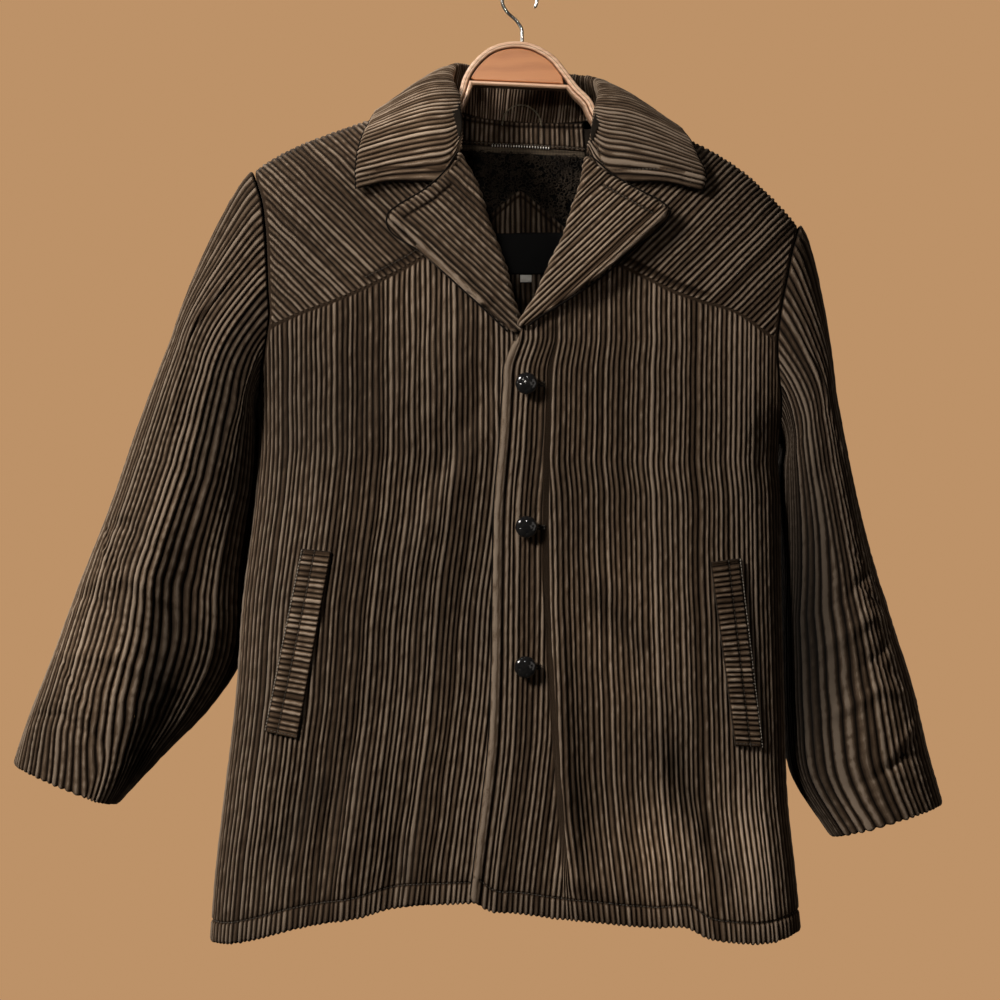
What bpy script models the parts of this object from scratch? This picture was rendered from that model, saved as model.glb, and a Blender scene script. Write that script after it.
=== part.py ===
"""A corduroy car coat hanging on a wooden hanger.

The origin is the point where the hanger's hook rests. The coat faces -Y and hangs down -Z.
Sides are the wearer's: the wearer's right is at -X. Sizes are in millimetres until the
meshes are made. Every cloth piece is a wall: an outer skin raised into ribs that follow the
wales, a plain inner skin, and a rim between the two.
"""

import math

import bpy
import numpy as np

MM = 0.001

# Cloth
WALL = 2.0
WALE_PITCH = 4.7
WALES_PER_RIB = 3
RIB_PITCH = WALE_PITCH * WALES_PER_RIB
RIB_RISE = 1.3
SEAM_GAP = 0.3
EDGE_SETBACK = 2.2
LAYER_LIFT = WALL + RIB_RISE + 1.2

# Body form
ROUNDNESS = 2.6
SHOULDER_DROP = 60.0
SHOULDER_RUN = 90.0
OVERLAP_LIFT = 4.2
CROSSING_LIFT = 7.0
CROSSING_HEIGHT = -333.0
CROSSING_SPREAD = 38.0
ARMHOLE_REACH = 0.3

# Lapels and collar
ROLL_RADIUS = 4.4
ROLL_CENTRE = 1.4
ROLL_EDGE = 3.0
ROLL_START = 1.1
LAPEL_CLEARANCE = 3.5
YOKE_GAP = 1.5
LAPEL_WALE_SLOPE = 43.0
CORNER_COSINE = 0.9

# Buttons
BUTTON_WIDTH = 20.0
BUTTON_HEIGHT = 9.0
BUTTON_SHANK = 1.8
BUTTON_PLACES = ((5.6, -371.4), (5.6, -499.2), (4.7, -624.0))

# Hanger
HANGER_DEPTH = 15.0
PANEL_DEPTH = 11.0
RIM_HEIGHT = 5.4
BAR_HEIGHT = 4.1
ARM_REACH = 205.0
ARM_DROP = 7.2
WIRE = 3.0
HOOK_RADIUS = 16.0
STEM_ACROSS = 2.3
STEM_TOP = -44.0

FORWARD = (0, -1, 0)
BACKWARD = (0, 1, 0)

# Finishes: name, colour, roughness, metallic
CORDUROY = ("corduroy", (0.072, 0.052, 0.034), 0.95, 0.0)
PILE = ("pile", (0.022, 0.018, 0.012), 1.0, 0.0)
TAPE = ("zip_tape", (0.05, 0.042, 0.03), 0.9, 0.0)
LABEL = ("label", (0.01, 0.01, 0.012), 0.6, 0.0)
TAB = ("size_tab", (0.75, 0.72, 0.68), 0.8, 0.0)
CORD = ("cord", (0.12, 0.1, 0.07), 0.8, 0.0)
LEATHER = ("button_leather", (0.008, 0.008, 0.009), 0.25, 0.0)
MAPLE = ("maple", (0.85, 0.62, 0.42), 0.45, 0.0)
REDWOOD = ("panel_wood", (0.58, 0.25, 0.12), 0.5, 0.0)
CHROME = ("chrome", (0.8, 0.8, 0.8), 0.15, 1.0)


def table(*rows):
    """Rows of numbers sorted by their first column."""
    grid = np.array(rows, dtype=float)
    return grid[np.argsort(grid[:, 0])]


# height, right edge, left edge, front depth, back depth
BODY = table(
    (-110, -282, 304, 50, 44),
    (-173, -280, 302, 52, 44),
    (-245, -273.5, 297, 56, 46),
    (-316, -261.5, 288, 58, 47),
    (-379, -238, 261, 60, 48),
    (-420, -238, 238.5, 61, 48),
    (-475, -242, 238.5, 62, 47),
    (-567, -253, 239.5, 62, 46),
    (-659, -259.5, 242, 61, 46),
    (-751, -270.5, 245, 60, 47),
    (-816, -278, 252, 59, 48),
    (-880, -283, 258, 58, 49),
)

# across, height of the shoulder seam; between the neck points it is the form's neck
RIDGE = table(
    (-306.5, -219.5), (-242, -172.5), (-226.5, -162), (-203, -150), (-178.5, -140.5),
    (-156, -132.5), (-121.5, -122), (-91.5, -116), (-75.5, -113), (-50, -92), (0, -66), (56, -86),
    (86.5, -125), (111, -129.5), (159, -146.5), (179.5, -157), (207, -175.5), (231.5, -198),
    (254, -222.5), (307, -280.5),
)

# height, across, of each front armhole seam down to the last row above the underarm
ARMHOLE_RIGHT = table(
    (-172, -242), (-201, -232), (-225, -228.5), (-250, -227), (-281, -226), (-309, -225),
    (-330.5, -228.5), (-354, -234),
)
ARMHOLE_LEFT = table(
    (-222, 254), (-245.5, 245.5), (-270.5, 240), (-290, 236), (-310, 233), (-330.5, 231),
    (-353, 232), (-385, 236),
)
UNDERARM_RIGHT = -379.0
UNDERARM_LEFT = -420.0

# across, height
YOKE_SEAM_RIGHT = table(
    (-248, -328), (-226, -318.5), (-199, -307), (-162, -294), (-129, -279.5), (-104, -267),
    (-62.5, -242), (-30.5, -227.5),
)
YOKE_SEAM_LEFT = table(
    (38, -240), (63, -251), (89.5, -264), (110.5, -274), (137.5, -287.5), (165.5, -297),
    (193, -305), (231.5, -330), (254.5, -340.5),
)
ROLL_RIGHT = table(
    (-75.5, -113), (-63, -132), (-54, -162), (-39.5, -189), (-27.5, -225.5), (-14, -262.5),
    (-5, -297.5), (0.5, -313), (11, -345.5), (18.5, -382.5),
)
ROLL_LEFT = table(
    (-5.5, -333), (0.5, -313.5), (10, -300), (25, -267.5), (38.5, -239.5), (47.5, -211.5),
    (54, -193), (60.5, -164), (71.5, -146), (86.5, -125),
)
NECKLINE = table(
    (-75.5, -113), (-58.5, -119), (-35, -122), (0, -123.5), (41, -126), (67, -127.5), (86.5, -125),
)
HEM_RIGHT = table(
    (-283.5, -879), (-268, -878.5), (-240, -872.5), (-209.5, -863.5), (-177.5, -856),
    (-142.5, -850), (-121.5, -843.5), (-102, -839.5), (-67.5, -837.5), (18.5, -835.5),
)
HEM_LEFT = table(
    (-44, -832.5), (-30.5, -841.5), (-1.5, -845), (28.5, -849), (73, -854.5), (121, -859.5),
    (152, -860.5), (168.5, -869.5), (193, -874.5), (232, -875.5), (258.5, -869),
)
HEM_BACK = table(
    (-284, -879.5), (-235.5, -870), (-154.5, -861.5), (-61.5, -853), (0.5, -851), (63, -853),
    (156, -863.5), (259, -870),
)
# height, across
FRONT_EDGE = table(
    (-332.5, -5.5), (-343, -9.5), (-353.5, -13.5), (-374.5, -15), (-424, -18), (-475, -22.5),
    (-537.5, -24), (-638, -25.5), (-690, -27.5), (-741, -33), (-788.5, -39), (-835.5, -44.5),
)
UNDER_EDGE = 18.5

# across and height of both ends, half width, depth: folds stand out, troughs go in
FRONT_FOLDS = (
    (36, -397, 32, -532, 15, 3),
    (32, -532, 36, -675, 15, 3.5),
    (36, -675, 46.5, -786, 15, 4),
    (32, -824.5, 92, -837, 16, 4),
    (65, -646, 69, -822.5, 18, -5),
    (112.5, -646, 125, -864, 26, 4),
    (141.5, -698, 204, -824.5, 17, -6),
    (-20, -293.5, -155, -438.5, 16, 3),
    (-20, -355.5, -113.5, -501, 16, -3),
    (-175.5, -698, -232.5, -812, 18, -6),
    (-108, -750, -111.5, -838, 20, -6),
    (-144.5, -646, -155, -864, 24, 4),
    (-61.5, -563, -68, -832.5, 26, 3.5),
    (-212, -397, -196.5, -521.5, 22, -4),
    (213, -438.5, 208, -563, 20, -4),
    (63, -366, 114.5, -480, 18, -3.5),
)
BACK_FOLDS = (
    (-150, -330, -120, -560, 26, -6.0),
    (150, -360, 120, -580, 26, -6.0),
    (0, -300, 0, -840, 34, 5.0),
    (-80, -500, -100, -840, 28, -5.0),
    (90, -500, 110, -840, 28, -5.0),
)

# outer across and height, inner across, depth and height, crease place, front and back depth
SLEEVE_RIGHT = (
    (-242.5, -171.5, -238, 0, -379, 0.90, 40, 42),
    (-285.5, -246.5, -243.5, 10, -385.5, 0.88, 50, 54),
    (-320, -329.5, -245.5, 25, -408, 0.80, 60, 50),
    (-347, -401, -245, 31, -451, 0.70, 66, 46),
    (-372.5, -475, -252.5, 32, -530, 0.64, 66, 44),
    (-409.5, -569.5, -261, 32, -623.5, 0.60, 62, 42),
    (-430, -625.5, -290, 26, -668.5, 0.60, 56, 40),
    (-447.5, -668.5, -327.5, 18, -707, 0.64, 50, 40),
    (-464.5, -717, -372, 8, -755, 0.74, 40, 38),
)
SLEEVE_LEFT = (
    (254.5, -222, 238.5, 0, -420, 0.90, 42, 42),
    (273, -275, 244.5, 10, -424.5, 0.86, 52, 54),
    (285, -353, 245, 26, -439, 0.74, 62, 56),
    (300, -437, 245, 31, -474, 0.60, 70, 56),
    (313, -497.5, 245.5, 32, -532, 0.50, 72, 54),
    (335.5, -573.5, 246, 32, -609, 0.46, 70, 52),
    (358, -642, 247.5, 30, -675, 0.48, 66, 48),
    (373, -702.5, 254, 22, -730, 0.50, 58, 46),
    (387.5, -753, 288, 8, -785, 0.50, 40, 40),
)
CAP_SHARE = 0.2
ARMHOLE_GAP = 0.002
ARMHOLE_SWELL = 4.0
ARMHOLE_CROWDING = 1.25
HEAD_RISE = {-1: 8.0, 1: 4.0}
HEAD_WIDTH = 0.17
SLEEVE_SETBACK = 3.6
FRONT_QUARTER = 0.30
BACK_QUARTER = 0.27
# share along, share around, length along, width around, depth
SLEEVE_FOLDS = (
    (0.52, 0.16, 0.012, 0.12, -5.0),
    (0.60, 0.22, 0.014, 0.14, 5.0),
    (0.66, 0.14, 0.012, 0.12, -5.0),
    (0.74, 0.24, 0.012, 0.14, 4.0),
    (0.88, 0.18, 0.010, 0.12, -4.0),
    (0.30, 0.24, 0.030, 0.08, -4.0),
    (0.56, -0.18, 0.014, 0.14, -5.0),
    (0.64, -0.14, 0.014, 0.14, 4.0),
)

# seam, fold and edge, each across, depth and height, then the fall's sag and bulge
COLLAR = (
    (-51.5, -53, -161, -54.5, -57, -160.5, -146.5, -60, -196, 6, 2),
    (-56, -51, -144, -52, -52.5, -145, -147, -58, -175.5, 3, 6),
    (-62, -42.5, -125, -53, -43, -128, -143.5, -54, -154, 1, 9),
    (-69.5, -22, -114, -55.5, -26, -106.5, -136.5, -36, -133.5, 0, 10),
    (-73.5, 0, -109, -62, -4, -88, -130.5, -3, -119, 0, 10),
    (-67, 19, -110.5, -59, 16, -72.5, -119.5, 30, -126.5, 0, 9),
    (-46.5, 35, -115.5, -44.5, 33, -70, -84.5, 52, -142.5, 0, 7),
    (0, 42, -121.5, 6.5, 48, -74, 5, 64, -151, 0, 5),
    (53, 37, -122, 55, 34, -79, 97, 54, -154.5, 0, 7),
    (75.5, 20, -121.5, 69, 17, -85, 130, 33, -142.5, 0, 9),
    (85, 0, -120.5, 73, -4, -99, 143.5, -3, -133.5, 0, 10),
    (80.5, -22, -126, 69, -25, -117, 153.5, -35, -147.5, 0, 10),
    (72.5, -43.5, -137, 65.5, -43, -135, 161, -48, -167, 1, 9),
    (65.5, -52.5, -151, 63, -54, -152, 166.5, -57, -184, 3, 7),
    (59, -53, -165, 61.5, -57, -162.5, 163.5, -60, -198, 5, 2),
)

# across and height: the lapel's top edge from the gorge to the tip, then its outer edge
LAPEL_RIGHT = ((-55, -164), (-68, -183), (-86.5, -199), (-110.5, -213.5), (-117.5, -219.5),
               (-118.5, -224.5), (-84.5, -256), (-48, -289.5), (-22, -313.5), (-10.5, -324.5))
LAPEL_LEFT = ((62, -168), (82.5, -185), (107.5, -199.5), (129.5, -212), (133.5, -216.5),
              (131.5, -223), (104.5, -247.5), (72.5, -275.5), (34, -301.5), (15, -313.5),
              (7, -319.5))

# across and height of a welt's corners: top inner, top outer, bottom outer, bottom inner
WELT_RIGHT = ((-169.5, -521.5), (-196.5, -519), (-230.5, -684.5), (-200.5, -690.5))
WELT_LEFT = ((171.5, -531), (199, -527.5), (220, -699.5), (194.5, -697))

# across, height of the rim's top edge round the neck of the hanger
RIM_NECK = ((-76, -127.5), (-68, -121.5), (-61, -111), (-55.5, -99), (-52, -87.5),
            (-39.5, -69), (-25.5, -58.5), (-14.5, -55), (-0.5, -54), (11.5, -56),
            (21.5, -60.5), (32.5, -68), (42.5, -80), (53.5, -94.5), (67, -109), (70.5, -117),
            (77, -127.5), (86, -136.5))
BAR_ENDS = ((-46, -90), (44.5, -94))

# across, depth and height along the hanging loop
LOOP = ((-16, 37.5, -124), (-14, 37.8, -115), (-7, 38, -107.5), (2.5, 38, -105),
        (12.5, 38, -109), (18.5, 37.8, -116), (21, 37.5, -125))
LOOP_RADIUS = 0.8


# ---------------------------------------------------------------- lookups and the body form

def smooth(rows, at, column=1):
    """One column of a table, read along a smooth curve through its rows."""
    keys, values = rows[:, 0], rows[:, column]
    slopes = np.gradient(values, keys)
    i = np.clip(np.searchsorted(keys, at) - 1, 0, len(keys) - 2)
    step = keys[i + 1] - keys[i]
    t = np.clip((at - keys[i]) / step, 0, 1)
    return (
        values[i] * (1 + 2 * t) * (1 - t) ** 2
        + slopes[i] * step * t * (1 - t) ** 2
        + values[i + 1] * t * t * (3 - 2 * t)
        + slopes[i + 1] * step * t * t * (t - 1)
    )


def straight(rows, at):
    """The second column of a table, read along straight lines between its rows."""
    return np.interp(at, rows[:, 0], rows[:, 1])


def ease(t):
    """A smooth step from 0 to 1."""
    t = np.clip(t, 0, 1)
    return t * t * (3 - 2 * t)


def shoulder_fall(run):
    """How far below the shoulder seam the cloth is after a run down over the shoulder."""
    bend = np.clip(run / SHOULDER_RUN, 0, 1)
    return SHOULDER_DROP * (1 - np.cos(bend * math.pi / 2)) + np.maximum(run - SHOULDER_RUN, 0)


def shoulder_run(fall):
    """The run that gives a fall: the inverse of shoulder_fall."""
    bend = np.arccos(1 - np.clip(fall / SHOULDER_DROP, 0, 1)) / (math.pi / 2)
    return SHOULDER_RUN * bend + np.maximum(fall - SHOULDER_DROP, 0)


def body_middle(z):
    return (smooth(BODY, z, 1) + smooth(BODY, z, 2)) / 2


def body_half(z):
    return (smooth(BODY, z, 2) - smooth(BODY, z, 1)) / 2


def turn_at(x, z):
    """The angle round the body's section at a place: 0 at the right side, pi at the left."""
    u = np.clip((x - body_middle(z)) / body_half(z), -1, 1)
    return np.arccos(-np.sign(u) * np.abs(u) ** (ROUNDNESS / 2))


def across_at(turn, z):
    c = np.cos(turn)
    return body_middle(z) - body_half(z) * np.sign(c) * np.abs(c) ** (2 / ROUNDNESS)


def fold_depth(x, z, folds):
    """The sum of the soft folds and troughs at a place."""
    total = np.zeros(np.broadcast(x, z).shape)
    for x0, z0, x1, z1, width, depth in folds:
        dx, dz = x1 - x0, z1 - z0
        t = np.clip(((x - x0) * dx + (z - z0) * dz) / (dx * dx + dz * dz), 0, 1)
        away = ((x - x0 - t * dx) ** 2 + (z - z0 - t * dz) ** 2) / width**2
        total = total + depth * np.exp(-away) * (0.35 + 0.65 * np.sin(math.pi * np.clip(t, 0.02, 0.98)))
    return total


def body_depth(face, turn, x, z):
    """How far the cloth stands in front of (face -1) or behind (face 1) the hanger."""
    side = np.sin(turn).clip(0) ** (2 / ROUNDNESS)
    below = np.clip((smooth(RIDGE, x) - z) / SHOULDER_DROP, 0, 1)
    top = np.sqrt(1 - (1 - below) ** 2)
    folds = fold_depth(x, z, FRONT_FOLDS if face < 0 else BACK_FOLDS)
    return (smooth(BODY, z, 3 if face < 0 else 4) + folds) * side * top


def body_point(face, turn, x, z, lift=0.0):
    depth = face * (body_depth(face, turn, x, z) + lift)
    return np.stack(np.broadcast_arrays(x, depth, z), axis=-1).astype(float)


def on_body(face, x, z, lift=0.0):
    return body_point(face, turn_at(x, z), x, z, lift)


def section_lengths():
    """Turn against share of the length round half of a middling section."""
    turns = np.linspace(0, math.pi, 401)
    c = np.cos(turns)
    x = 250 * np.sign(c) * np.abs(c) ** (2 / ROUNDNESS)
    y = 58 * np.sin(turns).clip(0) ** (2 / ROUNDNESS)
    lengths = np.concatenate([[0], np.cumsum(np.hypot(np.diff(x), np.diff(y)))])
    return turns, lengths / lengths[-1]


TURNS, LENGTHS = section_lengths()


def armhole_turns(armhole, underarm):
    """Turn of an armhole seam against the root of the height above the underarm."""
    rows = [(0.0, 0.0)]
    for height, across in armhole:
        turn = float(turn_at(np.array(across), np.array(height)))
        rows.append((math.sqrt(height - underarm), min(turn, math.pi - turn)))
    return table(*rows)


ARM_TURNS = {
    -1: armhole_turns(ARMHOLE_RIGHT, UNDERARM_RIGHT),
    1: armhole_turns(ARMHOLE_LEFT, UNDERARM_LEFT),
}
UNDERARM = {-1: UNDERARM_RIGHT, 1: UNDERARM_LEFT}
ARM_TOP = {-1: -172.0, 1: -222.0}
YOKE_CORNER = {-1: -318.0, 1: -330.0}


def side_turn(side, z):
    """Turn of a panel's side: the armhole seam above the underarm, then the side seam."""
    above = np.sqrt(np.clip(z - UNDERARM[side], 0, ARM_TOP[side] - UNDERARM[side]))
    turn = smooth(ARM_TURNS[side], above).clip(0)
    return turn if side < 0 else math.pi - turn


def overlap_lift(x, z):
    """How far the left front rides over the right one, most where the lapels cross."""
    crossing = CROSSING_LIFT * np.exp(-(((z - CROSSING_HEIGHT) / CROSSING_SPREAD) ** 2))
    return (OVERLAP_LIFT + crossing) * (1 - ease((x - 22) / 90))


def back_turn(u, z):
    """Turn of a wale of the back: upright, but for those beside the armholes."""
    right = np.interp(side_turn(-1, z), TURNS, LENGTHS)
    left = 1 - np.interp(side_turn(1, z), TURNS, LENGTHS)
    near_right = np.clip(1 - u / ARMHOLE_REACH, 0, 1)
    near_left = np.clip(1 - (1 - u) / ARMHOLE_REACH, 0, 1)
    return np.interp(u + right * near_right - left * near_left, LENGTHS, TURNS)


def armhole_height(side, turn):
    """Height of the armhole seam below the yoke at a turn, and above everything past it."""
    heights = np.linspace(UNDERARM[side], YOKE_CORNER[side] - YOKE_GAP, 60)
    turns = side_turn(side, heights)
    if side > 0:
        turn, turns = math.pi - turn, math.pi - turns
    return np.interp(turn, turns, heights, right=0.0)


def column_turn(corner, edge, ribs, u):
    """Turns from a side seam to a front edge, with one column on the yoke's corner."""
    corner, edge = np.interp(corner, TURNS, LENGTHS), np.interp(edge, TURNS, LENGTHS)
    knot = np.round(2 * ribs * corner / edge) / (2 * ribs)
    length = np.where(u < knot, u / knot * corner, corner + (u - knot) / (1 - knot) * (edge - corner))
    return np.interp(length, LENGTHS, TURNS)


def body_panel(face, turn_of, top, bottom, lift=None):
    """A panel with upright wales: u runs across it, v runs down it over the shoulder."""

    def surface(u, v):
        high = np.full(u.shape, -330.0)
        low = np.full(u.shape, -840.0)
        for _ in range(8):
            turn = turn_of(u, high)
            high = top(turn, across_at(turn, high))
            low = bottom(across_at(turn_of(u, low), low))
        crest = smooth(RIDGE, across_at(turn_of(u, high), high))
        first, last = shoulder_run(crest - high), shoulder_run(crest - low)
        z = crest - shoulder_fall(first + v * (last - first))
        turn = turn_of(u, z)
        x = across_at(turn, z)
        return body_point(face, turn, x, z, lift(x, z) if lift else 0.0)

    return surface


# ---------------------------------------------------------------- panels with slanted wales

def crossings(outline, point, along):
    """Where a line crosses a closed outline, as the first and last place along it."""
    ahead = np.roll(outline, -1, axis=0)
    across = np.array([-along[1], along[0]])
    here, there = (outline - point) @ across, (ahead - point) @ across
    cut = (here <= 0) != (there <= 0)
    share = here[cut] / (here[cut] - there[cut])
    at = (outline[cut] + share[:, None] * (ahead[cut] - outline[cut]) - point) @ along
    return at.min(), at.max()


def sharp_corners(outline):
    """The outline's points where it turns by more than about 25 degrees."""
    before = outline - np.roll(outline, 1, axis=0)
    after = np.roll(outline, -1, axis=0) - outline
    turn = np.einsum("ij,ij->i", before, after)
    turn /= np.maximum(np.linalg.norm(before, axis=1) * np.linalg.norm(after, axis=1), 1e-9)
    return outline[turn < CORNER_COSINE]


def wale_lines(outline, slope, spacing, shortest=9.0):
    """Start and end points of the wale lines that fill a flat outline at a slope."""
    along = np.array([math.cos(math.radians(slope)), math.sin(math.radians(slope))])
    across = np.array([-along[1], along[0]])
    places = outline @ across
    low, high = places.min(), places.max()
    count = 2 * max(2, round((high - low) / spacing))
    margin = 0.05 * (high - low) / count
    levels = np.linspace(low + margin, high - margin, count + 1)
    for corner in sharp_corners(outline) @ across:
        k = int(np.argmin(np.abs(levels - corner)))
        if 0 < k < count:
            levels[k] = corner
    lines = []
    for level in levels:
        first, last = crossings(outline, across * level, along)
        middle, half = (first + last) / 2, max(last - first, shortest) / 2
        lines.append((across * level + along * (middle - half), across * level + along * (middle + half)))
    return np.array(lines)


def slanted_panel(lines, lay):
    """A panel whose columns are wale lines: u runs from line to line, v along them."""
    keys = np.linspace(0, 1, len(lines))

    def surface(u, v):
        ends = [np.interp(u, keys, lines[:, end, axis]) for end in (0, 1) for axis in (0, 1)]
        a = ends[0] + v * (ends[2] - ends[0])
        b = ends[1] + v * (ends[3] - ends[1])
        return lay(a, b)

    return surface


def yoke_outline(side, roll, seam, neck_end, shoulder_end):
    """The yoke's outline in across and run, from the neck along the shoulder and round."""
    shoulder = np.linspace(neck_end, shoulder_end, 14)
    heights = np.linspace(ARM_TOP[side] - 1.0, YOKE_CORNER[side], 16)
    armhole = across_at(side_turn(side, heights), heights)
    seam_x = np.linspace(armhole[-1], seam[-1, 0] if side < 0 else seam[0, 0], 16)
    roll_x = np.linspace(seam_x[-1], neck_end, 10)
    points = [(x, 0.0) for x in shoulder]
    points += [(x, shoulder_run(smooth(RIDGE, x) - z)) for x, z in zip(armhole, heights)]
    points += [(x, shoulder_run(smooth(RIDGE, x) - smooth(seam, x))) for x in seam_x[1:]]
    points += [(x + side * ROLL_EDGE, shoulder_run(smooth(RIDGE, x) - smooth(roll, x))) for x in roll_x[1:-1]]
    return np.array(points, dtype=float)


def lay_on_shoulder(x, run):
    z = smooth(RIDGE, x) - shoulder_fall(run)
    return on_body(-1, x, z)


def lapel_outline(edge, roll, side):
    """The lapel's flat outline: its top and outer edges, then back up the roll line."""
    reach = ROLL_RADIUS * (math.pi / 2 - ROLL_START)
    low, high = edge[-1][1], edge[0][1]
    heights = np.linspace(low, high, 12)
    by_height = roll[np.argsort(roll[:, 1])][:, ::-1]
    roll_line = [(smooth(by_height, z) - side * reach, z) for z in heights]
    return np.array(list(edge) + roll_line, dtype=float)


def lay_lapel(roll, side, under, stand):
    """Lays a flat lapel over the front, rolled over the roll line at its inner edge."""
    by_height = roll[np.argsort(roll[:, 1])][:, ::-1]

    def lay(x, z):
        line = smooth(by_height, z)
        out = side * (x - line)
        angle = np.clip((out + ROLL_RADIUS * math.pi / 2) / ROLL_RADIUS, ROLL_START, math.pi)
        rolled = angle < math.pi
        beyond = ROLL_RADIUS * (1 - np.sin(angle))
        flat = out + ROLL_RADIUS - ROLL_RADIUS * math.pi / 2
        place = line + side * np.where(rolled, beyond, flat)
        swell = stand * ease((out - ROLL_RADIUS) / 45)
        rise = (LAYER_LIFT + LAPEL_CLEARANCE) * (1 - np.cos(angle)) / 2 - ROLL_CENTRE * (1 + np.cos(angle))
        lift = under(place, z) + rise + swell
        return on_body(-1, place, z, lift)

    return lay


def quad_panel(corners, lift):
    """A four-cornered patch laid on the front: u runs down its length, v across it."""
    (ax, az), (bx, bz), (cx, cz), (dx, dz) = corners

    def surface(u, v):
        x = (1 - u) * ((1 - v) * ax + v * bx) + u * ((1 - v) * dx + v * cx)
        z = (1 - u) * ((1 - v) * az + v * bz) + u * ((1 - v) * dz + v * cz)
        return on_body(-1, x, z, lift)

    return surface


def inner_back_panel(left, right, top, bottom, inset):
    """A patch hung inside the back: u runs across it, v runs down it."""

    def surface(u, v):
        x = left + (right - left) * u
        high, low = top(x), bottom(x)
        z = high + (low - high) * v
        return on_body(1, x, z) - back_normal(x, z) * inset

    return surface


def back_normal(x, z):
    """The outward direction of the back at a place."""
    along = on_body(1, x + 1, z) - on_body(1, x - 1, z)
    upward = on_body(1, x, z + 1) - on_body(1, x, z - 1)
    n = np.cross(upward, along)
    return n / np.linalg.norm(n, axis=-1, keepdims=True)


# ---------------------------------------------------------------- sleeves and collar

def armhole_loop(side, around):
    """The armhole seam: 0 and 1 at the shoulder, a half at the underarm."""
    share = (1 - np.abs(1 - 2 * around)) ** ARMHOLE_CROWDING
    rise = (1 - share) * math.sqrt(ARM_TOP[side] - UNDERARM[side])
    z = UNDERARM[side] + rise**2
    turn = side_turn(side, z)
    x = across_at(turn, z)
    front = body_point(-1, turn, x, z)
    back = body_point(1, turn, x, z)
    return np.where((around < 0.5)[..., None], front, back)


def sleeve_surface(side, rows):
    """A sleeve: around is 0 at its outer edge and 0.5 at its inner edge; v runs down."""
    grid = np.array(rows, dtype=float)
    mids = np.stack([(grid[:, 0] + grid[:, 2]) / 2, (grid[:, 1] + grid[:, 4]) / 2], axis=1)
    lengths = np.concatenate([[0], np.cumsum(np.hypot(*np.diff(mids, axis=0).T))])
    keyed = np.column_stack([lengths / lengths[-1], grid])

    def oval(around, v):
        outer_x, outer_z, inner_x, inner_y, inner_z, crease, front, back = (
            smooth(keyed, v, column) for column in range(1, 9)
        )
        is_front = around < 0.5
        quarter = np.where(is_front, FRONT_QUARTER, BACK_QUARTER)
        share = np.where(is_front, around, 1 - around)
        angle = np.where(
            share < quarter, share / quarter, 1 + (share - quarter) / (0.5 - quarter)
        ) * math.pi / 2
        outward = np.cos(angle)
        outward = np.sign(outward) * np.abs(outward) ** 0.9
        depth = np.sin(angle).clip(0) ** 0.9
        place = np.where(outward > 0, crease * (1 - outward), crease - (1 - crease) * outward)
        x = outer_x + place * (inner_x - outer_x)
        z = outer_z + place * (inner_z - outer_z)
        y = place * inner_y + np.where(is_front, -front, back) * depth
        for at, near, length, width, fold in SLEEVE_FOLDS:
            apart = np.abs((around - near + 0.5) % 1.0 - 0.5)
            slant = v - at - (apart - 0.05) * 0.25
            y = y + np.where(is_front, -1, 1) * fold * np.exp(-((slant / length) ** 2) - (apart / width) ** 2)
        return np.stack([x, y, z], axis=-1)

    def surface(around, v):
        around = around % 1.0
        v = ARMHOLE_GAP + (1 - ARMHOLE_GAP) * v
        t = np.clip(v / CAP_SHARE, 0, 1)[..., None]
        seam, end = armhole_loop(side, around), oval(around, np.full(v.shape, CAP_SHARE))
        pace = (oval(around, np.full(v.shape, CAP_SHARE + 0.01)) - end) * CAP_SHARE / 0.01
        cap = seam + (end - seam) * (t + t * t - t**3) - pace * t * t * (1 - t)
        swell = 4 * np.sqrt(t) * (1 - np.sqrt(t))
        apart = np.minimum(around, 1 - around)[..., None]
        head = np.exp(-((apart / HEAD_WIDTH) ** 2)) * HEAD_RISE[side]
        outward = (ARMHOLE_SWELL + head * 0.8) * np.array([side, 0.0, 0.0])
        upward = head * 0.6 * np.array([0.0, 0.0, 1.0])
        return np.where(t < 1, cap + swell * (outward + upward), oval(around, v))

    return surface


def sleeve_part(side, rows, start, end):
    whole = sleeve_surface(side, rows)
    return lambda u, v: whole(start + (end - start) * u, v)


def through(points, t):
    """A smooth curve through evenly keyed points, each an array of positions."""
    stack = np.stack(points)
    keys = np.linspace(0, 1, len(points))
    slopes = np.gradient(stack, keys, axis=0)
    i = np.clip((t * (len(points) - 1)).astype(int), 0, len(points) - 2)
    step = keys[1]
    w = (t / step - i)[..., None]

    def pick(values, k):
        rows = np.broadcast_to(k[None, ..., None], (1,) + t.shape + (3,))
        return np.take_along_axis(values, rows, axis=0)[0]

    return (
        pick(stack, i) * (1 + 2 * w) * (1 - w) ** 2
        + pick(slopes, i) * step * w * (1 - w) ** 2
        + pick(stack, i + 1) * w * w * (3 - 2 * w)
        + pick(slopes, i + 1) * step * w * w * (w - 1)
    )


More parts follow.
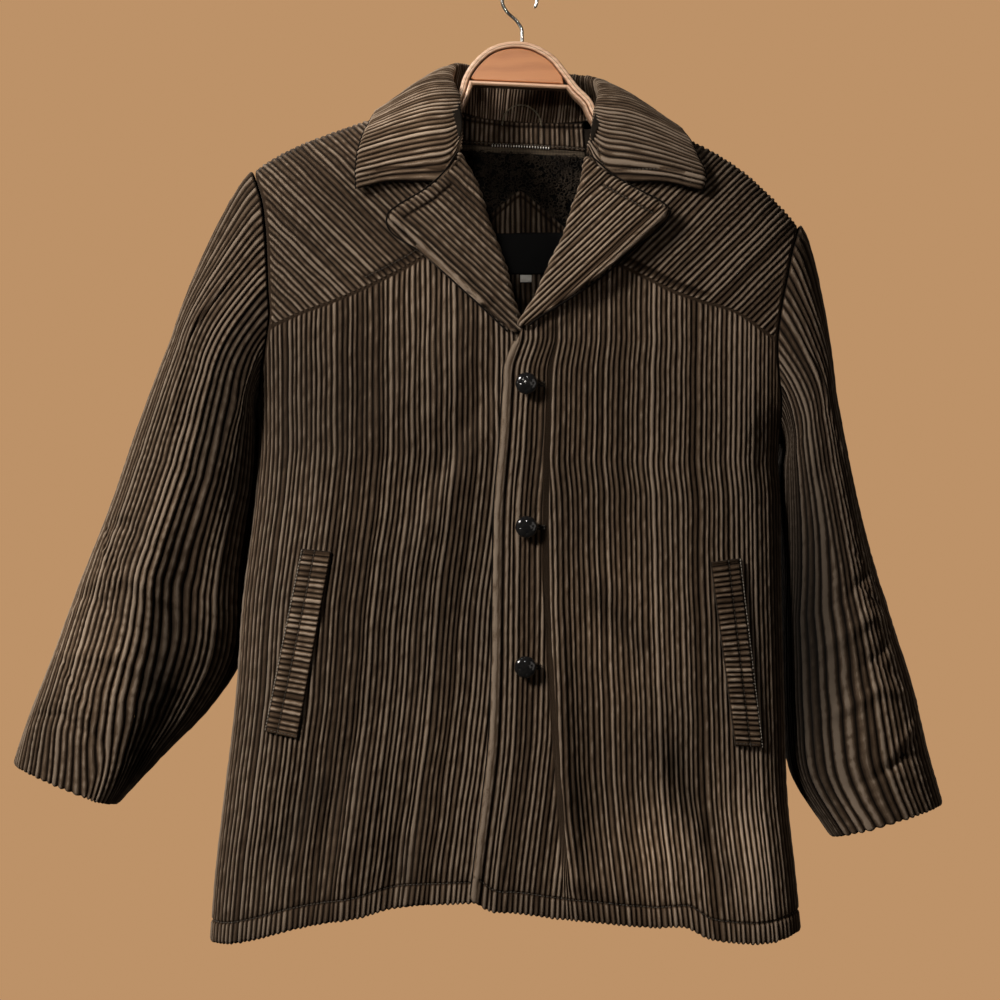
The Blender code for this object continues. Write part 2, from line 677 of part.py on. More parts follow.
def collar_surface(u, v):
    """The collar: u from the right front end round the neck, v from its seam to its edge."""
    grid = np.array(COLLAR, dtype=float)
    middles = (grid[:, 3:6] + grid[:, 6:9]) / 2
    lengths = np.concatenate([[0], np.cumsum(np.linalg.norm(np.diff(middles, axis=0), axis=1))])
    keyed = np.column_stack([lengths / lengths[-1], grid])
    seam, fold, edge = (read_place(keyed, u, first) for first in (1, 4, 7))
    sag, bulge = smooth(keyed, u, 10)[..., None], smooth(keyed, u, 11)[..., None]
    ahead = fall_middle(keyed, np.clip(u + 0.01, 0, 1)) - fall_middle(keyed, np.clip(u - 0.01, 0, 1))
    out = np.cross(ahead, edge - fold)
    out /= np.linalg.norm(out, axis=-1, keepdims=True)
    down = np.array([0.0, 0.0, -1.0])
    stand = seam * 0.45 + fold * 0.55
    near = fold + (edge - fold) * 0.12 + out * bulge * 0.75 + down * sag * 0.5
    quarter = fold + (edge - fold) * 0.35 + out * bulge + down * sag
    most = fold + (edge - fold) * 0.68 + out * bulge * 0.6 + down * sag * 0.9
    return through([seam, stand, fold, near, quarter, most, edge], v)


def read_place(keyed, u, first):
    """The place held in three columns of the collar's table, at a share round it."""
    return np.stack([smooth(keyed, u, first + k) for k in range(3)], axis=-1)


def fall_middle(keyed, u):
    """The middle of the collar's fall at a share round it."""
    return (read_place(keyed, u, 4) + read_place(keyed, u, 7)) / 2


# ---------------------------------------------------------------- walls

def inset_shares(surface, across, down, inset):
    """Moves a grid of shares in from a surface's four edges by a distance."""
    probe_u, probe_v = np.meshgrid(np.linspace(0, 1, 17), np.linspace(0, 1, 17), indexing="ij")
    points = surface(probe_u, probe_v)
    long_u = np.linalg.norm(np.diff(points, axis=0), axis=-1).sum(axis=0)
    long_v = np.linalg.norm(np.diff(points, axis=1), axis=-1).sum(axis=1)
    keys = np.linspace(0, 1, 17)
    u, v = np.meshgrid(across, down, indexing="ij")
    edge_u = np.minimum(inset / np.interp(v, keys, long_u), 0.4)
    edge_v = np.minimum(inset / np.interp(u, keys, long_v), 0.4)
    return edge_u + (1 - 2 * edge_u) * u, edge_v + (1 - 2 * edge_v) * v


def normals(surface, u, v, outside):
    """Unit normals of a surface on its outer side."""
    step = 0.004
    du = surface(np.clip(u + step, 0, 1), v) - surface(np.clip(u - step, 0, 1), v)
    dv = surface(u, np.clip(v + step, 0, 1)) - surface(u, np.clip(v - step, 0, 1))
    n = np.cross(du, dv) * outside
    return n / np.maximum(np.linalg.norm(n, axis=-1, keepdims=True), 1e-9)


def edge_loop(across, down, start):
    """Vertex numbers and corner-to-corner shares round a grid of points."""
    m, n = len(across), len(down)
    number = lambda i, j: start + i * n + j
    return (
        [(number(i, 0), i / (m - 1)) for i in range(m)],
        [(number(m - 1, j), down[j]) for j in range(n)],
        [(number(m - 1 - i, n - 1), i / (m - 1)) for i in range(m)],
        [(number(0, n - 1 - j), 1 - down[n - 1 - j]) for j in range(n)],
    )


def bridge(outer, inner):
    """Triangles between two rows of points with unlike counts."""
    faces, i, j = [], 0, 0
    while i < len(outer) - 1 or j < len(inner) - 1:
        if j == len(inner) - 1 or (i < len(outer) - 1 and outer[i + 1][1] <= inner[j + 1][1]):
            faces.append((outer[i][0], inner[j][0], outer[i + 1][0]))
            i += 1
        else:
            faces.append((outer[i][0], inner[j][0], inner[j + 1][0]))
            j += 1
    return faces


def cloth_wall(
    name, surface, ribs, down, finish, facing,
    wall=WALL, rise=RIB_RISE, setback=EDGE_SETBACK, start_rise=1.0, inner_ribs=0,
):
    """A closed wall: a ribbed outer skin, a plain inner skin and the rim that joins them."""
    across = np.linspace(0, 1, 2 * ribs + 1)
    inner_across = np.linspace(0, 1, (inner_ribs or max(2, ribs // 2)) + 1)
    down = np.array(down, dtype=float)
    middle = np.array([0.5])
    outside = 1 if normals(surface, middle, middle, 1)[0] @ np.array(facing) > 0 else -1
    u, v = inset_shares(surface, across, down, SEAM_GAP / 2)
    raised = np.where(np.arange(len(across)) % 2 == 1, rise, 0.0)[:, None, None] * np.ones(v.shape)[..., None]
    raised[:, 0] *= start_rise
    skin = surface(u, v) + normals(surface, u, v, outside) * raised
    iu, iv = inset_shares(surface, inner_across, down, setback)
    lining = surface(iu, iv) - normals(surface, iu, iv, outside) * wall
    first = skin.shape[0] * skin.shape[1]
    n = len(down)
    faces = []
    for start, count, turn in ((0, len(across), 1), (first, len(inner_across), -1)):
        for i in range(count - 1):
            for j in range(n - 1):
                a = start + i * n + j
                faces.append((a, a + n, a + n + 1, a + 1)[:: turn * outside])
    for outer, inner in zip(edge_loop(across, down, 0), edge_loop(inner_across, down, first)):
        faces += [face[::outside] for face in bridge(outer, inner)]
    points = np.concatenate([skin.reshape(-1, 3), lining.reshape(-1, 3)]) * MM
    mesh = bpy.data.meshes.new(name)
    mesh.from_pydata([tuple(p) for p in points.tolist()], [], faces)
    mesh.validate()
    return add_object(name, mesh, finish)


def even(count):
    return np.linspace(0, 1, count + 1)


# ---------------------------------------------------------------- objects

def material(finish):
    """The finish's material, made the first time it is asked for."""
    name, colour, roughness, metallic = finish
    found = bpy.data.materials.get(name)
    if found:
        return found
    made = bpy.data.materials.new(name)
    made.use_nodes = True
    shader = made.node_tree.nodes["Principled BSDF"]
    shader.inputs["Base Color"].default_value = (*colour, 1.0)
    shader.inputs["Roughness"].default_value = roughness
    shader.inputs["Metallic"].default_value = metallic
    return made


def add_object(name, data, finish):
    obj = bpy.data.objects.new(name, data)
    data.materials.append(material(finish))
    bpy.data.collections["corduroy_jacket"].objects.link(obj)
    return obj


def rib_count(width):
    return max(3, round(width / RIB_PITCH))


def build_body():
    """The two fronts and the back."""
    right_ribs, left_ribs = rib_count(275), rib_count(326)
    corner_right = side_turn(-1, np.array(YOKE_CORNER[-1]))
    corner_left = math.pi - side_turn(1, np.array(YOKE_CORNER[1]))
    right = body_panel(
        -1,
        lambda u, z: column_turn(corner_right, turn_at(UNDER_EDGE, z), right_ribs, u),
        lambda turn, x: np.minimum(
            np.where(x < -27, smooth(YOKE_SEAM_RIGHT, x) - YOKE_GAP, straight(ROLL_RIGHT, x + ROLL_EDGE)),
            armhole_height(-1, turn),
        ),
        lambda x: smooth(HEM_RIGHT, x),
    )
    left = body_panel(
        -1,
        lambda u, z: math.pi - column_turn(
            corner_left, math.pi - turn_at(smooth(FRONT_EDGE, z), z), left_ribs, 1 - u
        ),
        lambda turn, x: np.minimum(
            np.where(x > 38.5, smooth(YOKE_SEAM_LEFT, x) - YOKE_GAP, straight(ROLL_LEFT, x - ROLL_EDGE)),
            armhole_height(1, turn),
        ),
        lambda x: smooth(HEM_LEFT, x),
        lift=overlap_lift,
    )
    back = body_panel(
        1,
        back_turn,
        lambda turn, x: np.where((x > -75) & (x < 86), smooth(NECKLINE, x), smooth(RIDGE, x)),
        lambda x: smooth(HEM_BACK, x),
    )
    front_down = (0, 0.03, 0.07, 0.12, 0.2, 0.3, 0.42, 0.54, 0.66, 0.78, 0.9, 1)
    cloth_wall("front_right", right, right_ribs, front_down, CORDUROY, FORWARD)
    cloth_wall("front_left", left, left_ribs, front_down, CORDUROY, FORWARD)
    back_down = (0, 0.03, 0.07, 0.13, 0.21, 0.27, 0.32, 0.343, 0.36, 0.45, 0.6, 0.75, 0.9, 1)
    cloth_wall("back", back, rib_count(530), back_down, CORDUROY, BACKWARD, inner_ribs=rib_count(530))


def build_yokes():
    for side, roll, seam, neck_end, shoulder_end, slope, name in (
        (-1, ROLL_RIGHT, YOKE_SEAM_RIGHT, -75, -241, 46, "yoke_right"),
        (1, ROLL_LEFT, YOKE_SEAM_LEFT, 86, 253, -50, "yoke_left"),
    ):
        outline = yoke_outline(side, roll, seam, neck_end, shoulder_end)
        lines = wale_lines(outline, slope, RIB_PITCH)
        cloth_wall(name, slanted_panel(lines, lay_on_shoulder), len(lines) // 2, even(7), CORDUROY, FORWARD)


def build_lapels():
    flat = lambda x, z: 0.0 * x
    for side, edge, roll, slope, under, stand, name in (
        (-1, LAPEL_RIGHT, ROLL_RIGHT, -LAPEL_WALE_SLOPE, flat, 2.5, "lapel_right"),
        (1, LAPEL_LEFT, ROLL_LEFT, LAPEL_WALE_SLOPE, overlap_lift, 7.0, "lapel_left"),
    ):
        lines = wale_lines(lapel_outline(edge, roll, side), slope, RIB_PITCH / 1.5)
        surface = slanted_panel(lines, lay_lapel(roll, side, under, stand))
        cloth_wall(name, surface, len(lines) // 2, even(10), CORDUROY, FORWARD)


def build_sleeves():
    down = (0, 0.05, 0.1, 0.16, 0.25, 0.35, 0.45, 0.55, 0.63, 0.71, 0.8, 0.9, 1)
    for side, rows, front_seam, name in (
        (-1, SLEEVE_RIGHT, 0.30, "sleeve_right"),
        (1, SLEEVE_LEFT, 0.42, "sleeve_left"),
    ):
        for start, end, width, part in (
            (-BACK_QUARTER, front_seam, 215, "top"),
            (front_seam, 1 - BACK_QUARTER, 165, "under"),
        ):
            cloth_wall(
                f"{name}_{part}", sleeve_part(side, rows, start, end), rib_count(width), down,
                CORDUROY, (side if part == "top" else -side, 0, 0), setback=SLEEVE_SETBACK, start_rise=0.0,
            )


def build_collar():
    down = (0, 0.16, 0.27, 0.33, 0.4, 0.5, 0.66, 0.83, 1)
    cloth_wall("collar", collar_surface, rib_count(470), down, CORDUROY, BACKWARD)


def build_pockets():
    for name, corners in (("welt_right", WELT_RIGHT), ("welt_left", WELT_LEFT)):
        cloth_wall(name, quad_panel(corners, LAYER_LIFT), rib_count(165), even(3), CORDUROY, FORWARD)


def build_neck():
    """What the open neck shows inside the back."""
    band_top = lambda x: smooth(NECKLINE, x) - 1.0
    band_foot = lambda x: smooth(NECKLINE, x) - 21.0
    tape_foot = lambda x: smooth(NECKLINE, x) - 27.0
    pile_foot = lambda x: np.full(x.shape, -238.0)
    point = lambda x: -183 - 0.86 * np.hypot(x - 0.5, 3.0)
    level = lambda height: (lambda x: np.full(x.shape, height))
    for name, left, right, top, bottom, inset, wall, finish, ribs, rise in (
        ("neck_band", -48, 50, band_top, band_foot, 4.6, 1.6, CORDUROY, 9, 0.8),
        ("zip_tape", -48, 50, lambda x: band_foot(x) - 0.3, tape_foot, 4.2, 1.2, TAPE, 3, 0.0),
        ("pile_lining", -54, 59, lambda x: tape_foot(x) - 0.3, pile_foot, 5.2, 2.6, PILE, 4, 0.0),
        ("back_facing", -46, 58, point, level(-350.0), 9.6, 1.6, CORDUROY, 7, 0.7),
        ("label", -32, 50, level(-230.0), level(-268.0), 11.8, 0.8, LABEL, 2, 0.0),
        ("size_tab", 1.5, 11.5, level(-268.6), level(-276.5), 11.6, 0.6, TAB, 2, 0.0),
    ):
        surface = inner_back_panel(left, right, top, bottom, inset)
        cloth_wall(name, surface, ribs, even(4), finish, FORWARD, wall=wall, rise=rise)
    add_wire("hanging_loop", curve_points(LOOP, 12), LOOP_RADIUS, CORD)


def build_buttons():
    for k, (x, z) in enumerate(BUTTON_PLACES, 1):
        turn = turn_at(np.array(x), np.array(z))
        front = float(body_depth(-1, turn, np.array(x), np.array(z)) + overlap_lift(np.array(x), np.array(z)))
        y = -(front + RIB_RISE + BUTTON_SHANK + BUTTON_HEIGHT / 2)
        bpy.ops.mesh.primitive_uv_sphere_add(segments=16, ring_count=8, radius=BUTTON_WIDTH / 2 * MM)
        ball = bpy.context.object
        mesh = ball.data
        bpy.data.objects.remove(ball)
        for vertex in mesh.vertices:
            vertex.co = (vertex.co.x, vertex.co.z * BUTTON_HEIGHT / BUTTON_WIDTH, vertex.co.y)
        mesh.flip_normals()
        mesh.shade_smooth()
        button = add_object(f"button_{k}", mesh, LEATHER)
        button.location = (x * MM, y * MM, z * MM)


# ---------------------------------------------------------------- hanger

def curve_points(points, count):
    """A smooth curve through a few points, at evenly keyed places."""
    grid = np.array(points, dtype=float)
    keys = np.concatenate([[0], np.cumsum(np.linalg.norm(np.diff(grid, axis=0), axis=1))])
    keyed = np.column_stack([keys, grid])
    at = np.linspace(0, keys[-1], count + 1)
    return np.column_stack([smooth(keyed, at, column) for column in range(1, grid.shape[1] + 1)])


def add_wire(name, points, radius, finish):
    curve = bpy.data.curves.new(name, "CURVE")
    curve.dimensions = "3D"
    curve.bevel_depth = radius * MM
    curve.bevel_resolution = 2
    curve.use_fill_caps = True
    spline = curve.splines.new("POLY")
    spline.points.add(len(points) - 1)
    for spot, point in zip(spline.points, points):
        spot.co = (*(float(value) * MM for value in point), 1.0)
    return add_object(name, curve, finish)


def add_plate(name, outline, depth, finish):
    """A flat outline, given across and up, made a plate that is depth thick along Y."""
    curve = bpy.data.curves.new(name, "CURVE")
    curve.dimensions = "2D"
    curve.fill_mode = "BOTH"
    curve.extrude = depth / 2 * MM
    spline = curve.splines.new("POLY")
    spline.points.add(len(outline) - 1)
    for spot, (x, z) in zip(spline.points, outline):
        spot.co = (x * MM, z * MM, 0.0, 1.0)
    spline.use_cyclic_u = True
    plate = add_object(name, curve, finish)
    plate.rotation_euler = (math.pi / 2, 0, 0)
    return plate


def offset_line(line, distance):
    """A line moved down, at right angles to its own run."""
    run = np.gradient(line, axis=0)
    run /= np.linalg.norm(run, axis=1, keepdims=True)
    return line + np.column_stack([run[:, 1], -run[:, 0]]) * distance


def rim_line():
    """The hanger's top edge: an arm under each shoulder and the arch between them."""
    right = [(x, float(smooth(RIDGE, np.array(x))) - ARM_DROP) for x in np.linspace(-ARM_REACH, -92, 9)]
    left = [(x, float(smooth(RIDGE, np.array(x))) - ARM_DROP) for x in np.linspace(104, ARM_REACH + 8, 9)]
    return curve_points(right + list(RIM_NECK) + left, 56)


def build_hanger():
    top = rim_line()
    foot = offset_line(top, RIM_HEIGHT)
    add_plate("hanger_rim", np.concatenate([top, foot[::-1]]), HANGER_DEPTH, MAPLE)
    bar_top = offset_line(top, RIM_HEIGHT + 3 * SEAM_GAP)
    start, end = BAR_ENDS
    right_arm = bar_top[(bar_top[:, 0] < start[0] - 3) & (bar_top[:, 1] < start[1])]
    left_arm = bar_top[(bar_top[:, 0] > end[0] + 3) & (bar_top[:, 1] < end[1])]
    bar_line = np.array(list(right_arm) + [start, end] + list(left_arm))
    bar_foot = offset_line(bar_line, BAR_HEIGHT)
    add_plate("hanger_bar", np.concatenate([bar_line, bar_foot[::-1]]), HANGER_DEPTH, MAPLE)
    arch = bar_top[(bar_top[:, 1] > start[1] + 1.5) & (bar_top[:, 0] < end[0])]
    base = [(end[0] - 4, end[1] + 1.2), (start[0] + 5, start[1] + 0.9)]
    add_plate("hanger_panel", np.concatenate([arch, base]), PANEL_DEPTH, REDWOOD)
    build_hook(float(np.interp(STEM_ACROSS, top[:, 0], top[:, 1])))


def build_hook(crown):
    """A wire hook whose inner top is at the origin."""
    centre = WIRE / 2 - HOOK_RADIUS
    stem = [
        (STEM_ACROSS, 0, crown + SEAM_GAP), (STEM_ACROSS, 0, STEM_TOP - 8),
        (STEM_ACROSS, 0, STEM_TOP), (-0.9, 0, STEM_TOP + 6.4),
    ]
    arc = [
        (HOOK_RADIUS * math.cos(math.radians(a)), 0, centre + HOOK_RADIUS * math.sin(math.radians(a)))
        for a in range(222, -31, -18)
    ]
    add_wire("hanger_hook", curve_points(stem + arc, 30), WIRE / 2, CHROME)


def main():
    for obj in list(bpy.data.objects):
        bpy.data.objects.remove(obj)
    coat = bpy.data.collections.new("corduroy_jacket")
    bpy.context.scene.collection.children.link(coat)
    build_body()
    build_yokes()
    build_lapels()
    build_sleeves()
    build_collar()
    build_pockets()
    build_neck()
    build_buttons()
    build_hanger()


main()
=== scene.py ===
"""The looks of a corduroy car coat that hangs on a wooden hanger.

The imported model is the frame. The coat faces -Y and hangs down -Z from the origin, where the
hanger's hook rests; the wearer's right is at -X. Sizes are in millimetres until a mesh is
made. Every cloth panel is a thin closed shell: an outer skin of real wales, a plain inner
skin and a rim. Its form is that of its solid, with finer drape, and its edges are pressed
into seams or rounded. Sewing, zip teeth, pile curls and the woven buttons are pieces too.
"""

from __future__ import annotations

import logging
import math
from dataclasses import dataclass, field
from enum import Enum
from typing import Callable, Sequence

import bpy
import numpy as np
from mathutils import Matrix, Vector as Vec


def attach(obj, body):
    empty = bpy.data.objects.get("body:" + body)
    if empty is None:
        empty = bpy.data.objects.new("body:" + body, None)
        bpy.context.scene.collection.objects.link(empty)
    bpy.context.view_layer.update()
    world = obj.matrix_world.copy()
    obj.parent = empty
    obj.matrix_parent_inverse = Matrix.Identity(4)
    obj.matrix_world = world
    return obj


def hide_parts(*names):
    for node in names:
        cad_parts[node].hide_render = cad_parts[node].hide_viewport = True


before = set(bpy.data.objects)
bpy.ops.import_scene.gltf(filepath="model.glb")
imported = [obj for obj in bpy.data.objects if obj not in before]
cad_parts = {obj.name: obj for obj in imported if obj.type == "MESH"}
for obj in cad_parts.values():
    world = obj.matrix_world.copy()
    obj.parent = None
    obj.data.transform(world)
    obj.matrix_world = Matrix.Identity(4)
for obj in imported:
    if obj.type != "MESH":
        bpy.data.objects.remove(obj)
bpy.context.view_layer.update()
BODY_NAME = "root"

Array = np.ndarray
Lay = Callable[[Array, Array], Array]
Vector = tuple[float, float, float]
Rows = Sequence[tuple[float, ...]]
Outline = Sequence[tuple[float, float]]
Material = bpy.types.Material
Piece = bpy.types.Object
Socket = bpy.types.NodeSocket

log = logging.getLogger("coat")

MM = 0.001

# The wearer's right and left, and the coat's front and back, as signs
RIGHT, LEFT = -1, 1
FRONT, BACK = -1, 1

# Cloth
WALE_PITCH = 4.7
WALL = 2.0
RIB_RISE = 1.3
SEAM_GAP = 0.3
LAYER_LIFT = WALL + RIB_RISE + 1.2
WALE_PHASES = (0.0, 0.11, 0.27, 0.5, 0.73, 0.89)
SHELL = 2.7
GROOVE_DEPTH = 0.75

# Wales: how uneven they are in width, height and run, how crowded ones flatten, look and darken as
# painted shade in the pressed crease, and how high the smooth roll along a free edge is
WIDTH_SPREAD = 0.075
HEIGHT_SPREAD = 0.15
HEIGHT_RIPPLE = 0.12
WALE_WANDER = 0.42
CROWDED_FROM = 0.12
CROWDED_OVER = 0.4
CROWDED_LOOK = 0.62
CROWDED_SHADE = 0.15
ROLL_HEIGHT = 1.06

# A row of stitches: how wide its valley is and how much it flattens the wales
STITCH_REACH = 1.15
STITCH_PRESS = 0.62
LEAST_SLANT = 0.14

# Body form; shares round the body are measured on a section of the middling sizes
ROUNDNESS = 2.6
MIDDLING_HALF = 250.0
MIDDLING_DEPTH = 58.0
FIRST_TOP = -330.0
FIRST_HEM = -840.0
SHOULDER_DROP = 60.0
SHOULDER_RUN = 90.0
OVERLAP_LIFT = 4.2
CROSSING_LIFT = 7.0
CROSSING_HEIGHT = -333.0
CROSSING_SPREAD = 38.0
ARMHOLE_REACH = 0.3
OVERLAP_FROM = 22.0
OVERLAP_FADE = 90.0
STRAIGHT_FROM = -430.0
UNDERARM_TOUCH = 4.5
CREASE_HALF = 2.6

# Lapels and collar
ROLL_RADIUS = 4.4
ROLL_CENTRE = 1.4
ROLL_EDGE = 3.0
ROLL_START = 1.1
LAPEL_CLEARANCE = 3.5
YOKE_GAP = 0.3
YOKE_WALE_SLOPE = 45.0
LAPEL_WALE_SLOPE = 43.0
GORGE_DROP = 15.0
LEAF_DROP = 6.0

# Buttons
BUTTON_WIDTH = 20.0
BUTTON_HEIGHT = 9.0
BUTTON_SHANK = 1.8
BUTTON_PLACES = ((5.6, -371.4), (5.6, -499.2), (4.7, -624.0))

# Hanger
HANGER_DEPTH = 15.0
PANEL_DEPTH = 11.0
RIM_HEIGHT = 5.4
BAR_HEIGHT = 4.1
ARM_REACH = 205.0
ARM_DROP = 7.2
WIRE = 3.0
HOOK_RADIUS = 16.0
STEM_ACROSS = 2.3
STEM_TOP = -44.0

FORWARD: Vector = (0.0, -1.0, 0.0)
BACKWARD: Vector = (0.0, 1.0, 0.0)


# ---------------------------------------------------------------- the coat's form


def table(*rows: tuple[float, ...]) -> Array:
    """Rows of numbers sorted by their first column."""
    grid = np.array(rows, dtype=float)
    return grid[np.argsort(grid[:, 0])]


# height, right edge, left edge, front depth, back depth
BODY = table(
    (-110, -282, 304, 50, 44),
    (-173, -280, 302, 52, 44),
    (-245, -273.5, 297, 56, 46),
    (-316, -261.5, 288, 58, 47),
    (-379, -238, 261, 60, 48),
    (-420, -238, 238.5, 61, 48),
    (-475, -242, 238.5, 62, 47),
    (-567, -253, 239.5, 62, 46),
    (-659, -259.5, 242, 61, 46),
    (-751, -270.5, 245, 60, 47),
    (-816, -278, 252, 59, 48),
    (-880, -283, 258, 58, 49),
)

# across, height of the shoulder seam; between the neck points it is the form's neck
RIDGE = table(
    (-306.5, -219.5), (-242, -172.5), (-226.5, -162), (-203, -150), (-178.5, -140.5),
    (-156, -132.5), (-121.5, -122), (-91.5, -116), (-75.5, -113), (-50, -92), (0, -66), (56, -86),
    (86.5, -125), (111, -129.5), (159, -146.5), (179.5, -157), (207, -175.5), (231.5, -198),
    (254, -222.5), (307, -280.5),
)

# across, of the right and left ends of the neck and of the shoulder seams
NECK_ENDS = (-75.0, 86.0)
SHOULDER_ENDS = (-241.0, 253.0)

# height, across, of each front armhole seam down to the last row above the underarm
ARMHOLE_RIGHT = table(
    (-172, -242), (-201, -232), (-225, -228.5), (-250, -227), (-281, -226), (-309, -225),
    (-330.5, -228.5), (-354, -234),
)
ARMHOLE_LEFT = table(
    (-222, 254), (-245.5, 245.5), (-270.5, 240), (-290, 236), (-310, 233), (-330.5, 231),
    (-353, 232), (-385, 236),
)

# heights: underarm, armhole's top row, yoke's outer corner, and where a front is as wide as cut
UNDERARM = {RIGHT: -379.0, LEFT: -420.0}
ARM_TOP = {RIGHT: -172.0, LEFT: -222.0}
YOKE_CORNER = {RIGHT: -318.0, LEFT: -330.0}
CUT_LEVEL = {RIGHT: -831.0, LEFT: -870.0}

# across, height
YOKE_SEAM_RIGHT = table(
    (-248, -328), (-226, -318.5), (-199, -307), (-162, -294), (-129, -279.5), (-104, -267),
    (-62.5, -242), (-30.5, -227.5),
)
YOKE_SEAM_LEFT = table(
    (38, -240), (63, -251), (89.5, -264), (110.5, -274), (137.5, -287.5), (165.5, -297),
    (193, -305), (231.5, -330), (254.5, -340.5),
)
ROLL_RIGHT = table(
    (-75.5, -113), (-63, -132), (-54, -162), (-39.5, -189), (-27.5, -225.5), (-14, -262.5),
    (-5, -297.5), (0.5, -313), (11, -345.5), (18.5, -382.5),
)
ROLL_LEFT = table(
    (-5.5, -333), (0.5, -313.5), (10, -300), (25, -267.5), (38.5, -239.5), (47.5, -211.5),
    (54, -193), (60.5, -164), (71.5, -146), (86.5, -125),
)
NECKLINE = table(
    (-75.5, -113), (-58.5, -119), (-35, -122), (0, -123.5), (41, -126), (67, -127.5), (86.5, -125),
)
HEM_RIGHT = table(
    (-283.5, -879), (-268, -878.5), (-240, -872.5), (-209.5, -863.5), (-177.5, -856),
    (-142.5, -850), (-121.5, -843.5), (-102, -839.5), (-67.5, -837.5), (18.5, -835.5),
)
HEM_LEFT = table(
    (-44, -832.5), (-30.5, -841.5), (-1.5, -845), (28.5, -849), (73, -854.5), (121, -859.5),
    (152, -860.5), (168.5, -869.5), (193, -874.5), (232, -875.5), (258.5, -869),
)
HEM_BACK = table(
    (-284, -879.5), (-235.5, -870), (-154.5, -861.5), (-61.5, -853), (0.5, -851), (63, -853),
    (156, -863.5), (259, -870),
)
# height, across
FRONT_EDGE = table(
    (-332.5, -5.5), (-343, -9.5), (-353.5, -13.5), (-374.5, -15), (-424, -18), (-475, -22.5),
    (-537.5, -24), (-638, -25.5), (-690, -27.5), (-741, -33), (-788.5, -39), (-835.5, -44.5),
)
UNDER_EDGE = 18.5

# across and height of both ends, half width, depth: folds stand out, troughs go in
FRONT_FOLDS = (
    (36, -397, 32, -532, 15, 3),
    (32, -532, 36, -675, 15, 3.5),
    (36, -675, 46.5, -786, 15, 4),
    (32, -824.5, 92, -837, 16, 4),
    (65, -646, 69, -822.5, 18, -5),
    (112.5, -646, 125, -864, 26, 4),
    (141.5, -698, 204, -824.5, 17, -6),
    (-20, -293.5, -155, -438.5, 16, 3),
    (-20, -355.5, -113.5, -501, 16, -3),
    (-175.5, -698, -232.5, -812, 18, -6),
    (-108, -750, -111.5, -838, 20, -6),
    (-144.5, -646, -155, -864, 24, 4),
    (-61.5, -563, -68, -832.5, 26, 3.5),
    (-212, -397, -196.5, -521.5, 22, -4),
    (213, -438.5, 208, -563, 20, -4),
    (63, -366, 114.5, -480, 18, -3.5),
)
BACK_FOLDS = (
    (-150, -330, -120, -560, 26, -6.0),
    (150, -360, 120, -580, 26, -6.0),
    (0, -300, 0, -840, 34, 5.0),
    (-80, -500, -100, -840, 28, -5.0),
    (90, -500, 110, -840, 28, -5.0),
)

# outer across and height, inner across, depth and height, crease place, front and back depth
SLEEVE_RIGHT = (
    (-242.5, -171.5, -238, 0, -379, 0.90, 40, 42),
    (-285.5, -246.5, -243.5, 10, -385.5, 0.88, 50, 54),
    (-320, -329.5, -245.5, 25, -408, 0.80, 60, 50),
    (-347, -401, -245, 31, -451, 0.70, 66, 46),
    (-372.5, -475, -252.5, 32, -530, 0.64, 66, 44),
    (-409.5, -569.5, -261, 32, -623.5, 0.60, 62, 42),
    (-430, -625.5, -290, 26, -668.5, 0.60, 56, 40),
    (-447.5, -668.5, -327.5, 18, -707, 0.64, 50, 40),
    (-464.5, -717, -372, 8, -755, 0.74, 40, 38),
)
SLEEVE_LEFT = (
    (254.5, -222, 238.5, 0, -420, 0.90, 42, 42),
    (273, -275, 244.5, 10, -424.5, 0.86, 52, 54),
    (285, -353, 245, 26, -439, 0.74, 62, 56),
    (300, -437, 245, 31, -474, 0.60, 70, 56),
    (313, -497.5, 245.5, 32, -532, 0.50, 72, 54),
    (335.5, -573.5, 246, 32, -609, 0.46, 70, 52),
    (358, -642, 247.5, 30, -675, 0.48, 66, 48),
    (373, -702.5, 254, 22, -730, 0.50, 58, 46),
    (387.5, -753, 288, 8, -785, 0.50, 40, 40),
)
CAP_SHARE = 0.2
ARMHOLE_GAP = 0.002
ARMHOLE_SWELL = 4.0
ARMHOLE_CROWDING = 1.25
HEAD_RISE = {RIGHT: 5.0, LEFT: 4.0}
HEAD_WIDTH = 0.17
FRONT_QUARTER = 0.30
BACK_QUARTER = 0.27
# share along, share around, length along, width around, depth
SLEEVE_FOLDS = (
    (0.52, 0.16, 0.012, 0.12, -5.0),
    (0.60, 0.22, 0.014, 0.14, 5.0),
    (0.66, 0.14, 0.012, 0.12, -5.0),
    (0.74, 0.24, 0.012, 0.14, 4.0),
    (0.88, 0.18, 0.010, 0.12, -4.0),
    (0.30, 0.24, 0.030, 0.08, -4.0),
    (0.56, -0.18, 0.014, 0.14, -5.0),
    (0.64, -0.14, 0.014, 0.14, 4.0),
)

